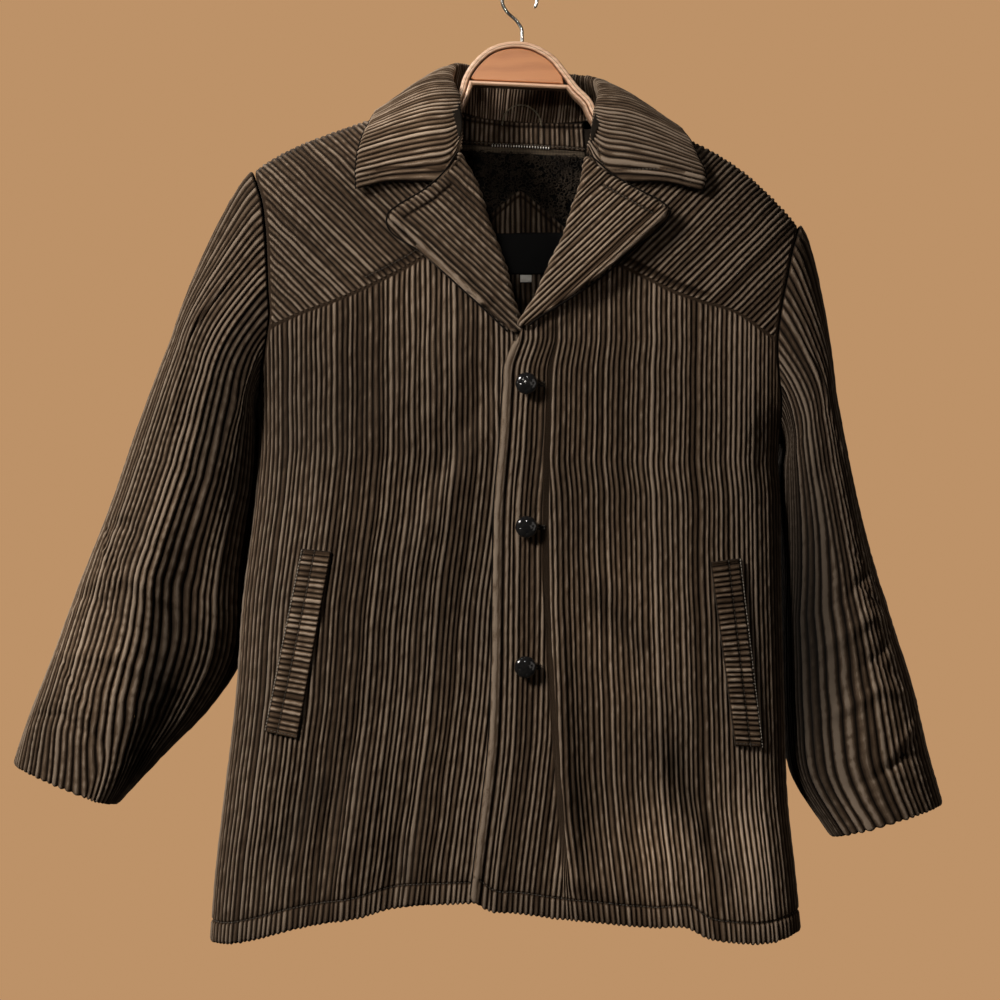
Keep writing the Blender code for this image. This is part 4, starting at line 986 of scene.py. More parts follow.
def sleeve_surface(side: int, rows: Rows) -> Lay:
    """A whole sleeve.

    Args:
        side: RIGHT or LEFT.
        rows: the sleeve's sections.

    Returns:
        A surface: around is 0 at the outer edge and 0.5 at the inner edge; v runs down.
    """
    grid = np.array(rows, dtype=float)
    mids = np.stack([(grid[:, 0] + grid[:, 2]) / 2, (grid[:, 1] + grid[:, 4]) / 2], axis=1)
    keyed = keyed_by_run(mids, grid)

    def oval(around: Array, v: Array) -> Array:
        """The place on the sleeve's sections, without its cap."""
        outer_x, outer_z, inner_x, inner_y, inner_z, crease, front, back = (
            smooth(keyed, v, column) for column in range(1, 9)
        )
        is_front = around < 0.5
        quarter = np.where(is_front, FRONT_QUARTER, BACK_QUARTER)
        share = np.where(is_front, around, 1 - around)
        angle = np.where(
            share < quarter, share / quarter, 1 + (share - quarter) / (0.5 - quarter)
        ) * math.pi / 2
        outward = np.cos(angle)
        outward = np.sign(outward) * np.abs(outward) ** 0.9
        depth = np.sin(angle).clip(0) ** 0.9
        place = np.where(outward > 0, crease * (1 - outward), crease - (1 - crease) * outward)
        inner_x = inner_x - side * UNDERARM_TOUCH * np.exp(-(((v - 0.25) / 0.17) ** 2))
        x = outer_x + place * (inner_x - outer_x)
        z = outer_z + place * (inner_z - outer_z)
        y = place * inner_y + np.where(is_front, -front, back) * depth
        off_edge = ease(np.minimum(share, 0.5 - share) / 0.05)
        y = y + np.where(is_front, -1, 1) * off_edge * sleeve_creases(side, around, v)
        return np.stack([x, y, z], axis=-1)

    def surface(around: Array, v: Array) -> Array:
        """The place on the sleeve, whose cap starts at the armhole's seam."""
        around = around % 1.0
        v = ARMHOLE_GAP + (1 - ARMHOLE_GAP) * v
        t = np.clip(v / CAP_SHARE, 0, 1)[..., None]
        seam, end = armhole_loop(side, around), oval(around, np.full(v.shape, CAP_SHARE))
        pace = (oval(around, np.full(v.shape, CAP_SHARE + 0.01)) - end) * CAP_SHARE / 0.01
        cap = seam + (end - seam) * (t + t * t - t**3) - pace * t * t * (1 - t)
        swell = 4 * np.sqrt(t) * (1 - np.sqrt(t))
        apart = np.minimum(around, 1 - around)[..., None]
        head = np.exp(-((apart / HEAD_WIDTH) ** 2)) * HEAD_RISE[side]
        outward = (ARMHOLE_SWELL + head * 0.8) * np.array([side, 0.0, 0.0])
        upward = head * 0.6 * np.array([0.0, 0.0, 1.0])
        return np.where(t < 1, cap + swell * (outward + upward), oval(around, v))

    return surface


def sleeve_creases(side: int, around: Array, v: Array) -> Array:
    """How far a sleeve's creases stand out at a share around and along."""
    total = 0.8 * ripple(around * 3.2, v * 5.0, 20 + side) * ease((v - CAP_SHARE) / 0.1)
    for at, near, length, width, fold in SLEEVE_FOLDS:
        apart = np.abs((around - near + 0.5) % 1.0 - 0.5)
        slant = v - at - (apart - 0.05) * 0.25
        total = total + fold * np.exp(-((slant / length) ** 2) - (apart / width) ** 2)
    for at, near, tilt, length, width, fold in SLEEVE_CREASES[side]:
        apart = (around - near + 0.5) % 1.0 - 0.5
        slant = v - at - apart * tilt
        total = total + fold * np.exp(-((slant / length) ** 2) - (apart / width) ** 2)
    return total


def sleeve_part(side: int, rows: Rows, start: Array, end: Array) -> Lay:
    """One panel of a sleeve.

    Args:
        side: RIGHT or LEFT.
        rows: the sleeve's sections.
        start: the share around where the panel starts, against the share along.
        end: the share around where it ends.

    Returns:
        A surface: u runs round the panel and v runs down it.
    """
    whole = sleeve_surface(side, rows)

    def surface(u: Array, v: Array) -> Array:
        """The place at a share round and down the panel."""
        first, last = straight(start, v), straight(end, v)
        return whole(first + (last - first) * u, v)

    return surface


def through(points: Sequence[Array], t: Array) -> Array:
    """A smooth curve through evenly keyed points, each an array of positions."""
    stack = np.stack(points)
    keys = np.linspace(0, 1, len(points))
    slopes = np.gradient(stack, keys, axis=0)
    i = np.clip((t * (len(points) - 1)).astype(int), 0, len(points) - 2)
    step = keys[1]
    w = (t / step - i)[..., None]

    def pick(values: Array, k: Array) -> Array:
        """The values at each point's own key."""
        rows = np.broadcast_to(k[None, ..., None], (1,) + t.shape + (3,))
        return np.take_along_axis(values, rows, axis=0)[0]

    return (
        pick(stack, i) * (1 + 2 * w) * (1 - w) ** 2
        + pick(slopes, i) * step * w * (1 - w) ** 2
        + pick(stack, i + 1) * w * w * (3 - 2 * w)
        + pick(slopes, i + 1) * step * w * w * (w - 1)
    )


def collar_surface(u: Array, v: Array) -> Array:
    """The collar: u runs from its right end round the neck, v from its seam to its edge."""
    grid = np.array(COLLAR, dtype=float)
    middles = (grid[:, 3:6] + grid[:, 6:9]) / 2
    keyed = keyed_by_run(middles, grid)

    def place(at: Array, first: int) -> Array:
        """The place held in three columns of the collar's table."""
        return np.stack([smooth(keyed, at, first + k) for k in range(3)], axis=-1)

    def middle(at: Array) -> Array:
        """The middle of the collar's fall."""
        return (place(at, 4) + place(at, 7)) / 2

    seam, fold, edge = (place(u, first) for first in (1, 4, 7))
    sag, bulge = smooth(keyed, u, 10)[..., None], smooth(keyed, u, 11)[..., None]
    ahead = middle(np.clip(u + 0.01, 0, 1)) - middle(np.clip(u - 0.01, 0, 1))
    out = unit(np.cross(ahead, edge - fold))
    down = np.array([0.0, 0.0, -1.0])
    stand = seam * 0.45 + fold * 0.55
    inward = np.minimum(u, 1 - u)[..., None]
    end = np.exp(-inward / 0.02) * GORGE_DROP + np.exp(-((inward / 0.16) ** 2)) * LEAF_DROP
    near = fold + (edge - fold) * 0.12 + out * bulge * 0.75 + down * (sag * 0.5 + end)
    quarter = fold + (edge - fold) * 0.35 + out * bulge + down * (sag + end * 0.55)
    most = fold + (edge - fold) * 0.68 + out * bulge * 0.6 + down * sag * 0.9
    return through([seam, stand, fold, near, quarter, most, edge], v)


# ---------------------------------------------------------------- cloth panels


class Edge(Enum):
    """How the edge of a panel is finished."""

    SEAM = "pressed into a seam"
    UNDER = "tucked under another panel"
    FREE = "turned in and rounded"

    @property
    def round(self) -> float:
        """The radius of the edge's rounding."""
        return {Edge.SEAM: 1.2, Edge.UNDER: 2.4, Edge.FREE: 2.3}[self]


class Side(Enum):
    """The four edges of a panel."""

    START = "the first wale"
    END = "the last wale"
    HEAD = "where the wales begin"
    FOOT = "where the wales end"


@dataclass(frozen=True)
class StitchLine:
    """A row of stitches that follows one edge of a panel.

    Attributes:
        side: the edge that it follows.
        distance: how far in from that edge it runs.
        span: the shares of the edge where it starts and ends.
        depth: how far it pulls the cloth in.
        sewn: whether its thread shows.
    """

    side: Side
    distance: float
    span: tuple[float, float] = (0.0, 1.0)
    depth: float = 0.9
    sewn: bool = True


def soften(values: Array, reach: int) -> Array:
    """Values averaged with their neighbours."""
    padded = np.pad(values, reach, mode="edge")
    return np.convolve(padded, np.ones(2 * reach + 1) / (2 * reach + 1), mode="valid")


def edge_slant(edge: Array, along: Array) -> Array:
    """How squarely the wales meet an edge, softened from wale to wale."""
    return soften(np.linalg.norm(np.cross(edge, along), axis=-1).clip(LEAST_SLANT, 1), 8)


def bridge(outer: list[tuple[int, float]], inner: list[tuple[int, float]]) -> list[tuple]:
    """Triangles between two rows of points with unlike counts, each a number and a share."""
    faces, i, j = [], 0, 0
    while i < len(outer) - 1 or j < len(inner) - 1:
        if j == len(inner) - 1 or (i < len(outer) - 1 and outer[i + 1][1] <= inner[j + 1][1]):
            faces.append((outer[i][0], inner[j][0], outer[i + 1][0]))
            i += 1
        else:
            faces.append((outer[i][0], inner[j][0], inner[j + 1][0]))
            j += 1
    return faces


def grid_faces(rows: int, columns: int, start: int, flip: bool) -> Array:
    """The four-sided faces of a grid of points that are numbered column by column."""
    i, j = np.meshgrid(np.arange(rows - 1), np.arange(columns - 1), indexing="ij")
    a = (start + i * columns + j).ravel()
    faces = np.stack([a, a + columns, a + columns + 1, a + 1], axis=1)
    return faces[:, ::-1] if flip else faces


def grid_border(rows: int, columns: int, start: int) -> list[list[int]]:
    """The point numbers along the four edges of a grid, in one direction round."""
    numbers = start + np.arange(rows * columns).reshape(rows, columns)
    edges = numbers[:, 0], numbers[-1], numbers[::-1, -1], numbers[0, ::-1]
    return [edge.tolist() for edge in edges]


def ring_faces(rings: int, sides: int, start: int = 0) -> list[tuple[int, ...]]:
    """The four-sided faces between rings of points that are numbered ring by ring."""
    faces = []
    for near in range(start, start + (rings - 1) * sides, sides):
        for k in range(sides):
            follow = (k + 1) % sides
            faces.append((near + k, near + follow, near + sides + follow, near + sides + k))
    return faces


def closed_rings(rings: int, sides: int, start: int = 0) -> list[Sequence[int]]:
    """The faces between rings of points, with both ends closed."""
    last = start + (rings - 1) * sides
    ends = [list(range(start, start + sides))[::-1], list(range(last, last + sides))]
    return ring_faces(rings, sides, start) + ends


def keep_number(mesh: bpy.types.Mesh, label: str, values: Array) -> None:
    """Keeps a number at each point of a mesh, which its material can read."""
    layer = mesh.attributes.new(label, "FLOAT", "POINT")
    layer.data.foreach_set("value", values.astype(np.float32).ravel())


def make_object(
    name: str,
    points: Array,
    faces: list,
    finishes: Sequence[Material],
    slots: Array | None = None,
    flat: Array | None = None,
    crest: Array | None = None,
    nap_and_painted_light: Array | None = None,
) -> Piece:
    """Makes a mesh object from points in millimetres.

    Args:
        name: the piece's name.
        points: the points.
        faces: lists of point numbers.
        finishes: its materials.
        slots: the number of the material of each face.
        flat: the place of each point on the flat cloth, for the UV map.
        crest: how far up a wale each point is, from 0 to 1; the corduroy paints shade in the
            grooves and highlights on the tops by it.
        nap_and_painted_light: how light the pile looks at each point, partly for its nap and partly
            as painted light and shade.

    Returns:
        The object, which is in the scene.
    """
    mesh = bpy.data.meshes.new(name)
    mesh.from_pydata((points * MM).tolist(), [], faces)
    for finish in finishes:
        mesh.materials.append(finish)
    mesh.polygons.foreach_set("use_smooth", np.ones(len(mesh.polygons), dtype=bool))
    if slots is not None:
        mesh.polygons.foreach_set("material_index", slots.astype(np.int32))
    if flat is not None:
        corner = np.empty(len(mesh.loops), dtype=np.int32)
        mesh.loops.foreach_get("vertex_index", corner)
        layer = mesh.uv_layers.new(name="cloth")
        layer.data.foreach_set("uv", flat[corner].astype(np.float32).ravel())
    for label, values in (("crest", crest), ("nap_and_painted_light", nap_and_painted_light)):
        if values is not None:
            keep_number(mesh, label, values)
    mesh.update()
    piece = bpy.data.objects.new(name if name not in bpy.data.objects else f"{name}_piece", mesh)
    bpy.context.scene.collection.objects.link(piece)
    return piece


def make_outward(piece: Piece) -> Piece:
    """Turns the faces of a closed piece outwards."""
    bpy.ops.object.select_all(action="DESELECT")
    piece.select_set(True)
    bpy.context.view_layer.objects.active = piece
    bpy.ops.object.mode_set(mode="EDIT")
    bpy.ops.mesh.select_all(action="SELECT")
    bpy.ops.mesh.normals_make_consistent(inside=False)
    bpy.ops.object.mode_set(mode="OBJECT")
    piece.select_set(False)
    return piece


def closed_sheet(name: str, outer: Array, inner: Array, finish: Material) -> Piece:
    """A thin closed sheet from two grids of points of the same size."""
    m, n = outer.shape[:2]
    faces = grid_faces(m, n, 0, True).tolist() + grid_faces(m, n, m * n, False).tolist()
    for a, b in zip(grid_border(m, n, 0), grid_border(m, n, m * n)):
        faces += [(p, q, s, r)[::-1] for p, q, r, s in zip(a[:-1], a[1:], b[:-1], b[1:])]
    points = np.concatenate([outer.reshape(-1, 3), inner.reshape(-1, 3)])
    return make_outward(make_object(name, points, faces, (finish,)))


@dataclass
class Panel:
    """A panel of corduroy: a closed thin shell with real wales on its outer side.

    Attributes:
        name: the piece's name.
        surface: its form; u runs from wale to wale, v along them.
        width: its width across the wales.
        length: the length of its longest wales.
        facing: roughly where its outer side looks.
        edges: the finish of its start, end, head and foot.
        stitches: its rows of stitches.
        rise: the height of a wale.
        shell: its thickness under the wales.
        step: the distance between rows of points.
        pitch: the distance between wales.
        puff: how much the cloth swells between an edge and its stitches.
        inset: how far in from its form's edges it ends.
        seed: picks its unevenness.
        rolled: the width of the smooth roll along its start.
        nap_and_painted_light: how light its pile looks, partly for its nap and partly as painted
            light and shade over the whole panel.
        painted_light_and_shade: painted light and shade, lighter places on lit folds and darker
            ones in shaded troughs: across, height, both half sizes and gain of each.
        threads: the points and upward directions of each row of stitches, once it is built.
    """

    name: str
    surface: Lay
    width: float
    length: float
    facing: Vector
    edges: tuple[Edge, Edge, Edge, Edge] = (Edge.SEAM, Edge.SEAM, Edge.SEAM, Edge.SEAM)
    stitches: tuple[StitchLine, ...] = ()
    rise: float = RIB_RISE
    shell: float = SHELL
    step: float = 6.0
    pitch: float = WALE_PITCH
    puff: float = 0.5
    inset: tuple[float, float, float, float] = (0.15, 0.15, 0.15, 0.15)
    seed: int = 1
    rolled: float = 0.0
    nap_and_painted_light: float = 1.0
    painted_light_and_shade: tuple[tuple[float, ...], ...] = ()
    threads: list[tuple[Array, Array]] = field(default_factory=list)

    def edge(self, side: Side) -> Edge:
        """The finish of one edge."""
        return self.edges[list(Side).index(side)]

    def rows_beside(self, side: Side) -> Array:
        """Distances from the head or foot where the panel needs rows of points."""
        rows = [self.edge(side).round * share for share in (0, 0.08, 0.3, 0.62, 1.0)]
        for line in self.stitches:
            if line.side is side:
                rows += [line.distance + away for away in (-2.2, -1.0, 0, 1.0, 2.2)]
        return np.array(sorted(rows))

    def shares(self) -> tuple[Array, Array, Array]:
        """The grid of shares across and along, and the wale of each column.

        Returns:
            u and v for each point of the outer skin, and the wales counted from the start.
        """
        wales = max(3, round(self.width / self.pitch))
        phases = (np.arange(wales)[:, None] + np.array(WALE_PHASES)).ravel()
        draw = np.random.default_rng(self.seed + 500)
        bounds = np.arange(wales + 1) + WIDTH_SPREAD * draw.standard_normal(wales + 1)
        bounds[[0, -1]] = 0, wales
        across = np.append(np.interp(phases, np.arange(wales + 1), bounds), wales) / wales
        probe = np.linspace(0, 1, 33)
        u, v = np.meshgrid(across, probe, indexing="ij")
        points = self.surface(u, v)
        lengths = np.linalg.norm(np.diff(points, axis=1), axis=-1).sum(axis=1)
        parts = []
        for side, row in ((Side.HEAD, 0), (Side.FOOT, -1)):
            edge = unit(np.gradient(points[:, row], axis=0))
            along = unit(points[:, 1] - points[:, 0] if row == 0 else points[:, -1] - points[:, -2])
            reach = lengths * edge_slant(edge, along)
            parts.append(self.rows_beside(side)[None, :] / reach[:, None])
        head, foot = parts
        squeeze = np.minimum(1, 0.9 / (head[:, -1] + foot[:, -1]))[:, None]
        head, foot = head * squeeze, foot * squeeze
        count = max(3, round(self.length / self.step))
        middle = np.linspace(0, 1, count)[None, 1:-1]
        first, last = head[:, -1:], 1 - foot[:, -1:]
        v = np.concatenate([head, first + middle * (last - first), 1 - foot[:, ::-1]], axis=1)
        u = np.repeat(across[:, None], v.shape[1], axis=1)
        return u, v, np.append(phases, float(wales))

    def inset_grid(self, u: Array, v: Array) -> tuple[Array, Array]:
        """Moves a grid of shares in from the form's edges, and lets the wales wander."""
        start, end, head, foot = self.inset
        wander = ripple(u * self.width / 30, v * self.length / 70, self.seed)
        u = u + WALE_WANDER * np.sin(math.pi * u) ** 0.5 * wander / self.width
        u = start / self.width + u * (1 - (start + end) / self.width)
        probe = self.surface(u[:, ::4], v[:, ::4])
        lengths = np.linalg.norm(np.diff(probe, axis=1), axis=-1).sum(axis=1, keepdims=True)
        lengths = np.maximum(lengths, 6.0)
        return u.clip(0, 1), head / lengths + v * (1 - (head + foot) / lengths)

    def build(self, cloth: Material, inside: Material) -> Piece:
        """Builds the panel, and keeps the lines of its threads.

        Args:
            cloth: the finish of its outer side.
            inside: the finish of its inner side.

        Returns:
            The panel's object.
        """
        u, v, wale = self.shares()
        base = self.surface(*self.inset_grid(u, v))
        ahead, down = np.gradient(base, axis=0), np.gradient(base, axis=1)
        normal = unit(np.cross(ahead, down))
        centre = normal[normal.shape[0] // 2, normal.shape[1] // 2]
        outside = 1 if centre @ np.array(self.facing) > 0 else -1
        normal *= outside
        ahead, down = unit(ahead), unit(down)
        away, from_head, tight = self.distances(base, ahead, down, u)

        round_top, height = self.wales(wale, v)
        height = height * tight
        lean, drop = normal.copy(), np.zeros(u.shape)
        outward = {Side.START: -ahead, Side.END: ahead, Side.HEAD: -down, Side.FOOT: down}
        for side in Side:
            bend = self.edge(side).round
            share = np.clip(away[side] / bend, 0, 1)
            drop = np.maximum(drop, bend * (1 - np.sqrt(1 - (1 - share) ** 2)))
            if self.edge(side) is not Edge.FREE:
                height = height * ease(0.35 + away[side] / (1.8 * bend))
            else:
                turned = (1 - share)[..., None]
                lean = lean * np.sqrt(1 - turned**2) + outward[side] * turned
        height, pull = self.press(height, away, u, v)
        filled = np.minimum(1, height.max(axis=0, keepdims=True))
        groove = GROOVE_DEPTH * (1 - round_top)[:, None] * filled
        if self.rolled:
            height, groove = self.roll(height, groove, away[Side.START], wale, v)
        lift = (self.rise + 0.2) * height - groove * self.rise / RIB_RISE
        outer = base + unit(lean) * lift[..., None] - normal * (drop + pull)[..., None]
        self.keep_threads(base, normal, away)

        columns = np.unique(np.append(np.arange(0, len(wale), len(WALE_PHASES)), len(wale) - 1))
        rows = np.unique(np.append(np.arange(0, v.shape[1], 3), v.shape[1] - 1))
        inner = (base - normal * self.shell)[np.ix_(columns, rows)]
        looks = height + CROWDED_LOOK * (1 - tight), self.pile_tone_and_painted_light(base, tight)
        flat = np.stack([u * self.width, from_head], axis=-1) / 100
        return self.close(outer, inner, (columns, rows), outside, looks, flat, (cloth, inside))

    def distances(
        self, base: Array, ahead: Array, down: Array, u: Array
    ) -> tuple[dict[Side, Array], Array, Array]:
        """Measures the panel as it lies.

        Args:
            base: the points of its form.
            ahead: the directions across the wales.
            down: the directions along them.
            u: the share across.

        Returns:
            How far each point is from each edge, the length along each wale, and the room that
            the wales have, from 0 where they crowd to 1.
        """
        aside = np.diff(base, axis=0)
        aside -= (aside * down[1:]).sum(-1, keepdims=True) * down[1:]
        gap = np.linalg.norm(aside, axis=-1)
        from_start = np.concatenate([np.zeros((1, gap.shape[1])), np.cumsum(gap, axis=0)])
        spread = np.diff(u[:, 0])[:, None] * self.width
        room = np.concatenate([gap[:1] / spread[:1], gap / spread])
        room = np.minimum(room, np.roll(room, -1, axis=0))
        run = np.linalg.norm(np.diff(base, axis=1), axis=-1)
        from_head = np.concatenate([np.zeros((run.shape[0], 1)), np.cumsum(run, axis=1)], axis=1)
        from_foot = from_head[:, -1:] - from_head
        away = {Side.START: from_start, Side.END: from_start[-1:] - from_start}
        for side, row, length in ((Side.HEAD, 0, from_head), (Side.FOOT, -1, from_foot)):
            away[side] = length * edge_slant(ahead[:, row], down[:, row])[:, None]
        return away, from_head, ease((room - CROWDED_FROM) / CROWDED_OVER)

    def wales(self, wale: Array, v: Array) -> tuple[Array, Array]:
        """The roundness of the wales' tops, and their heights before they are pressed."""
        round_top = np.sin(math.pi * (wale % 1.0)) ** 0.9
        draw = np.random.default_rng(self.seed)
        spread = draw.standard_normal(int(wale[-1]) + 1)[np.floor(wale).astype(int)]
        along = ripple(wale[:, None] / 1.6, v * self.length / 11, self.seed + 1)
        height = (round_top * (1 + HEIGHT_SPREAD * spread))[:, None] * (1 + HEIGHT_RIPPLE * along)
        return round_top, height

    def press(
        self, height: Array, away: dict[Side, Array], u: Array, v: Array
    ) -> tuple[Array, Array]:
        """Presses the wales along the stitches.

        Args:
            height: the heights of the wales.
            away: the distance of each point from each edge.
            u: the share across.
            v: the share along.

        Returns:
            The pressed heights, and how far the stitches pull the cloth in.
        """
        pull = np.zeros(u.shape)
        for line in self.stitches:
            near = np.exp(-(((away[line.side] - line.distance) / STITCH_REACH) ** 2))
            place = u if line.side in (Side.HEAD, Side.FOOT) else v
            first, last = line.span
            near *= ease((place - first) * 60 + 1) * ease((last - place) * 60 + 1)
            pull += near * line.depth
            height = height * (1 - STITCH_PRESS * near)
            between = np.clip(away[line.side] / line.distance, 0, 1)
            pull -= self.puff * np.sin(math.pi * between) * (place > first) * (place < last)
        return height, pull

    def roll(
        self, height: Array, groove: Array, from_start: Array, wale: Array, v: Array
    ) -> tuple[Array, Array]:
        """Makes one smooth roll of pile along the start, in place of wales and grooves."""
        half = self.rolled / 2
        on_roll = ease((self.rolled - from_start) / 0.9 + 0.5)
        bulge = np.sqrt((1 - ((from_start - half) / (half + 0.5)) ** 2).clip(0, 1))
        tufts = 1 + HEIGHT_RIPPLE * ripple(wale[:, None], v * self.length / 6, self.seed + 2)
        height = height * (1 - on_roll) + on_roll * bulge * tufts * ROLL_HEIGHT
        return height, groove * (1 - on_roll)

    def pile_tone_and_painted_light(self, base: Array, tight: Array) -> Array:
        """How light the pile looks at each point, with painted light and shade: lighter places on
        lit folds, and darker ones in shaded troughs and where the wales crowd.
        """
        tone = self.nap_and_painted_light * (1 - CROWDED_SHADE * (1 - tight))
        # each patch paints light onto the pile where its gain is positive, and shade where it is
        # negative
        for x, z, wide, high, gain in self.painted_light_and_shade:
            away = ((base[..., 0] - x) / wide) ** 2 + ((base[..., 2] - z) / high) ** 2
            tone *= 1 + gain * np.exp(-away)
        return tone

    def keep_threads(self, base: Array, normal: Array, away: dict[Side, Array]) -> None:
        """Finds the line of each row of stitches on the pressed cloth.

        Args:
            base: the points of the panel's form.
            normal: its outward directions.
            away: the distance of each point from each edge.
        """
        for line in self.stitches:
            if not line.sewn:
                continue
            level = base + normal * (self.rise * 0.3 - line.depth * 0.8 + 0.35)
            crosswise = line.side in (Side.HEAD, Side.FOOT)
            distance = away[line.side] if crosswise else away[line.side].T
            level = level if crosswise else level.transpose(1, 0, 2)
            upward = normal if crosswise else normal.transpose(1, 0, 2)
            count = distance.shape[0]
            first, last = round(line.span[0] * (count - 1)), round(line.span[1] * (count - 1))
            points, ups = [], []
            for k in range(first, last + 1):
                order = distance[k] if distance[k][0] < distance[k][-1] else distance[k][::-1]
                if order[-1] < line.distance * 1.6:
                    continue
                at = np.interp(line.distance, order, np.arange(len(order)))
                if order is not distance[k]:
                    at = len(order) - 1 - at
                low = min(int(at), len(order) - 2)
                w = at - low
                points.append(level[k, low] * (1 - w) + level[k, low + 1] * w)
                ups.append(upward[k, low])
            if len(points) > 3:
                self.threads.append((np.array(points), np.array(ups)))

    def close(
        self,
        outer: Array,
        inner: Array,
        picked: tuple[Array, Array],
        outside: int,
        looks: tuple[Array, Array],
        flat: Array,
        finishes: tuple[Material, Material],
    ) -> Piece:
        """Joins the outer and the inner skin into one closed shell.

        Args:
            outer: the outer skin's points.
            inner: the inner skin's points.
            picked: the columns and rows of the outer skin that the inner one has.
            outside: 1 or -1, which way the grid's normals look.
            looks: how far up a wale each outer point is, and how light its pile looks with its
                painted light and shade.
            flat: the place of each outer point on the flat cloth.
            finishes: the outer and the inner finish.

        Returns:
            The panel's object.
        """
        m, n = outer.shape[:2]
        first = m * n
        skin = grid_faces(m, n, 0, outside < 0)
        lining = grid_faces(len(picked[0]), len(picked[1]), first, outside > 0)

        def ring(columns: Array, rows: Array, start: int) -> list[list[tuple[int, float]]]:
            """The four edges of a grid as point numbers and shares."""
            border = grid_border(len(columns), len(rows), start)
            shares = columns, rows, columns[-1] - columns[::-1], rows[-1] - rows[::-1]
            return [list(zip(edge, share)) for edge, share in zip(border, shares)]

        rim = []
        for a, b in zip(ring(np.arange(m), np.arange(n), 0), ring(*picked, first)):
            rim += [face[::outside] for face in bridge(a, b)]
        faces = skin.tolist() + rim + lining.tolist()
        slots = np.zeros(len(faces), dtype=np.int32)
        slots[len(skin) + len(rim):] = 1
        count = inner.shape[0] * inner.shape[1]
        places = np.concatenate([flat.reshape(-1, 2), flat[np.ix_(*picked)].reshape(-1, 2)])
        crests = np.concatenate([looks[0].ravel(), np.full(count, 0.3)])
        naps = np.concatenate([looks[1].ravel(), np.ones(count)])
        points = np.concatenate([outer.reshape(-1, 3), inner.reshape(-1, 3)])
        return make_object(self.name, points, faces, finishes, slots, places, crests, naps)


@dataclass
class Sewing:
    """Rows of short stitches of one thread.

    Attributes:
        radius: the thread's radius.
        pitch: the distance from stitch to stitch.
        length: the length of thread that shows in each.
        sides: how many sides the thread has.
    """

    radius: float = 0.34
    pitch: float = 3.3
    length: float = 2.5
    sides: int = 5

    def build(self, name: str, lines: Sequence[tuple[Array, Array]], thread: Material) -> Piece:
        """Sews along lines.

        Args:
            name: the piece's name.
            lines: the points of each line and its upward directions.
            thread: the thread's finish.

        Returns:
            All the stitches as one piece.
        """
        stations = np.array([-1.0, -0.86, -0.45, 0.45, 0.86, 1.0])
        sizes = np.array([0.05, 0.7, 1.0, 1.0, 0.7, 0.05])
        arch = np.array([-0.5, -0.25, 0.0, 0.0, -0.25, -0.5]) * self.radius
        turns = np.arange(self.sides) * 2 * math.pi / self.sides
        blocks = []
        for points, ups in lines:
            length = run_along(points)
            places = np.arange(self.pitch / 2, length[-1], self.pitch)
            spots = self.read(places[:, None] + stations * self.length / 2, length, points)
            up = unit(self.read(places, length, ups))
            along = unit(spots[:, -1] - spots[:, 0])
            across = unit(np.cross(along, up))
            up = np.cross(across, along)
            ring = across[:, None, None] * np.cos(turns)[:, None]
            ring = ring + up[:, None, None] * np.sin(turns)[:, None]
            ring = ring * sizes[None, :, None, None] * self.radius
            centre = spots + up[:, None] * arch[None, :, None]
            blocks.append((centre[:, :, None] + ring).reshape(-1, 3))
        points = np.concatenate(blocks)
        size = len(stations) * self.sides
        one = np.array(ring_faces(len(stations), self.sides))
        starts = np.arange(0, len(points), size)
        faces = (one[None] + starts[:, None, None]).reshape(-1, 4).tolist()
        for at in starts.tolist():
            faces.append(list(range(at, at + self.sides))[::-1])
            faces.append(list(range(at + size - self.sides, at + size)))
        return make_object(name, points, faces, (thread,))

    @staticmethod
    def read(at: Array, length: Array, points: Array) -> Array:
        """Places read along a line of points at lengths from its start."""
        return np.stack([np.interp(at, length, points[:, k]) for k in range(3)], axis=-1)


# ---------------------------------------------------------------- finishes


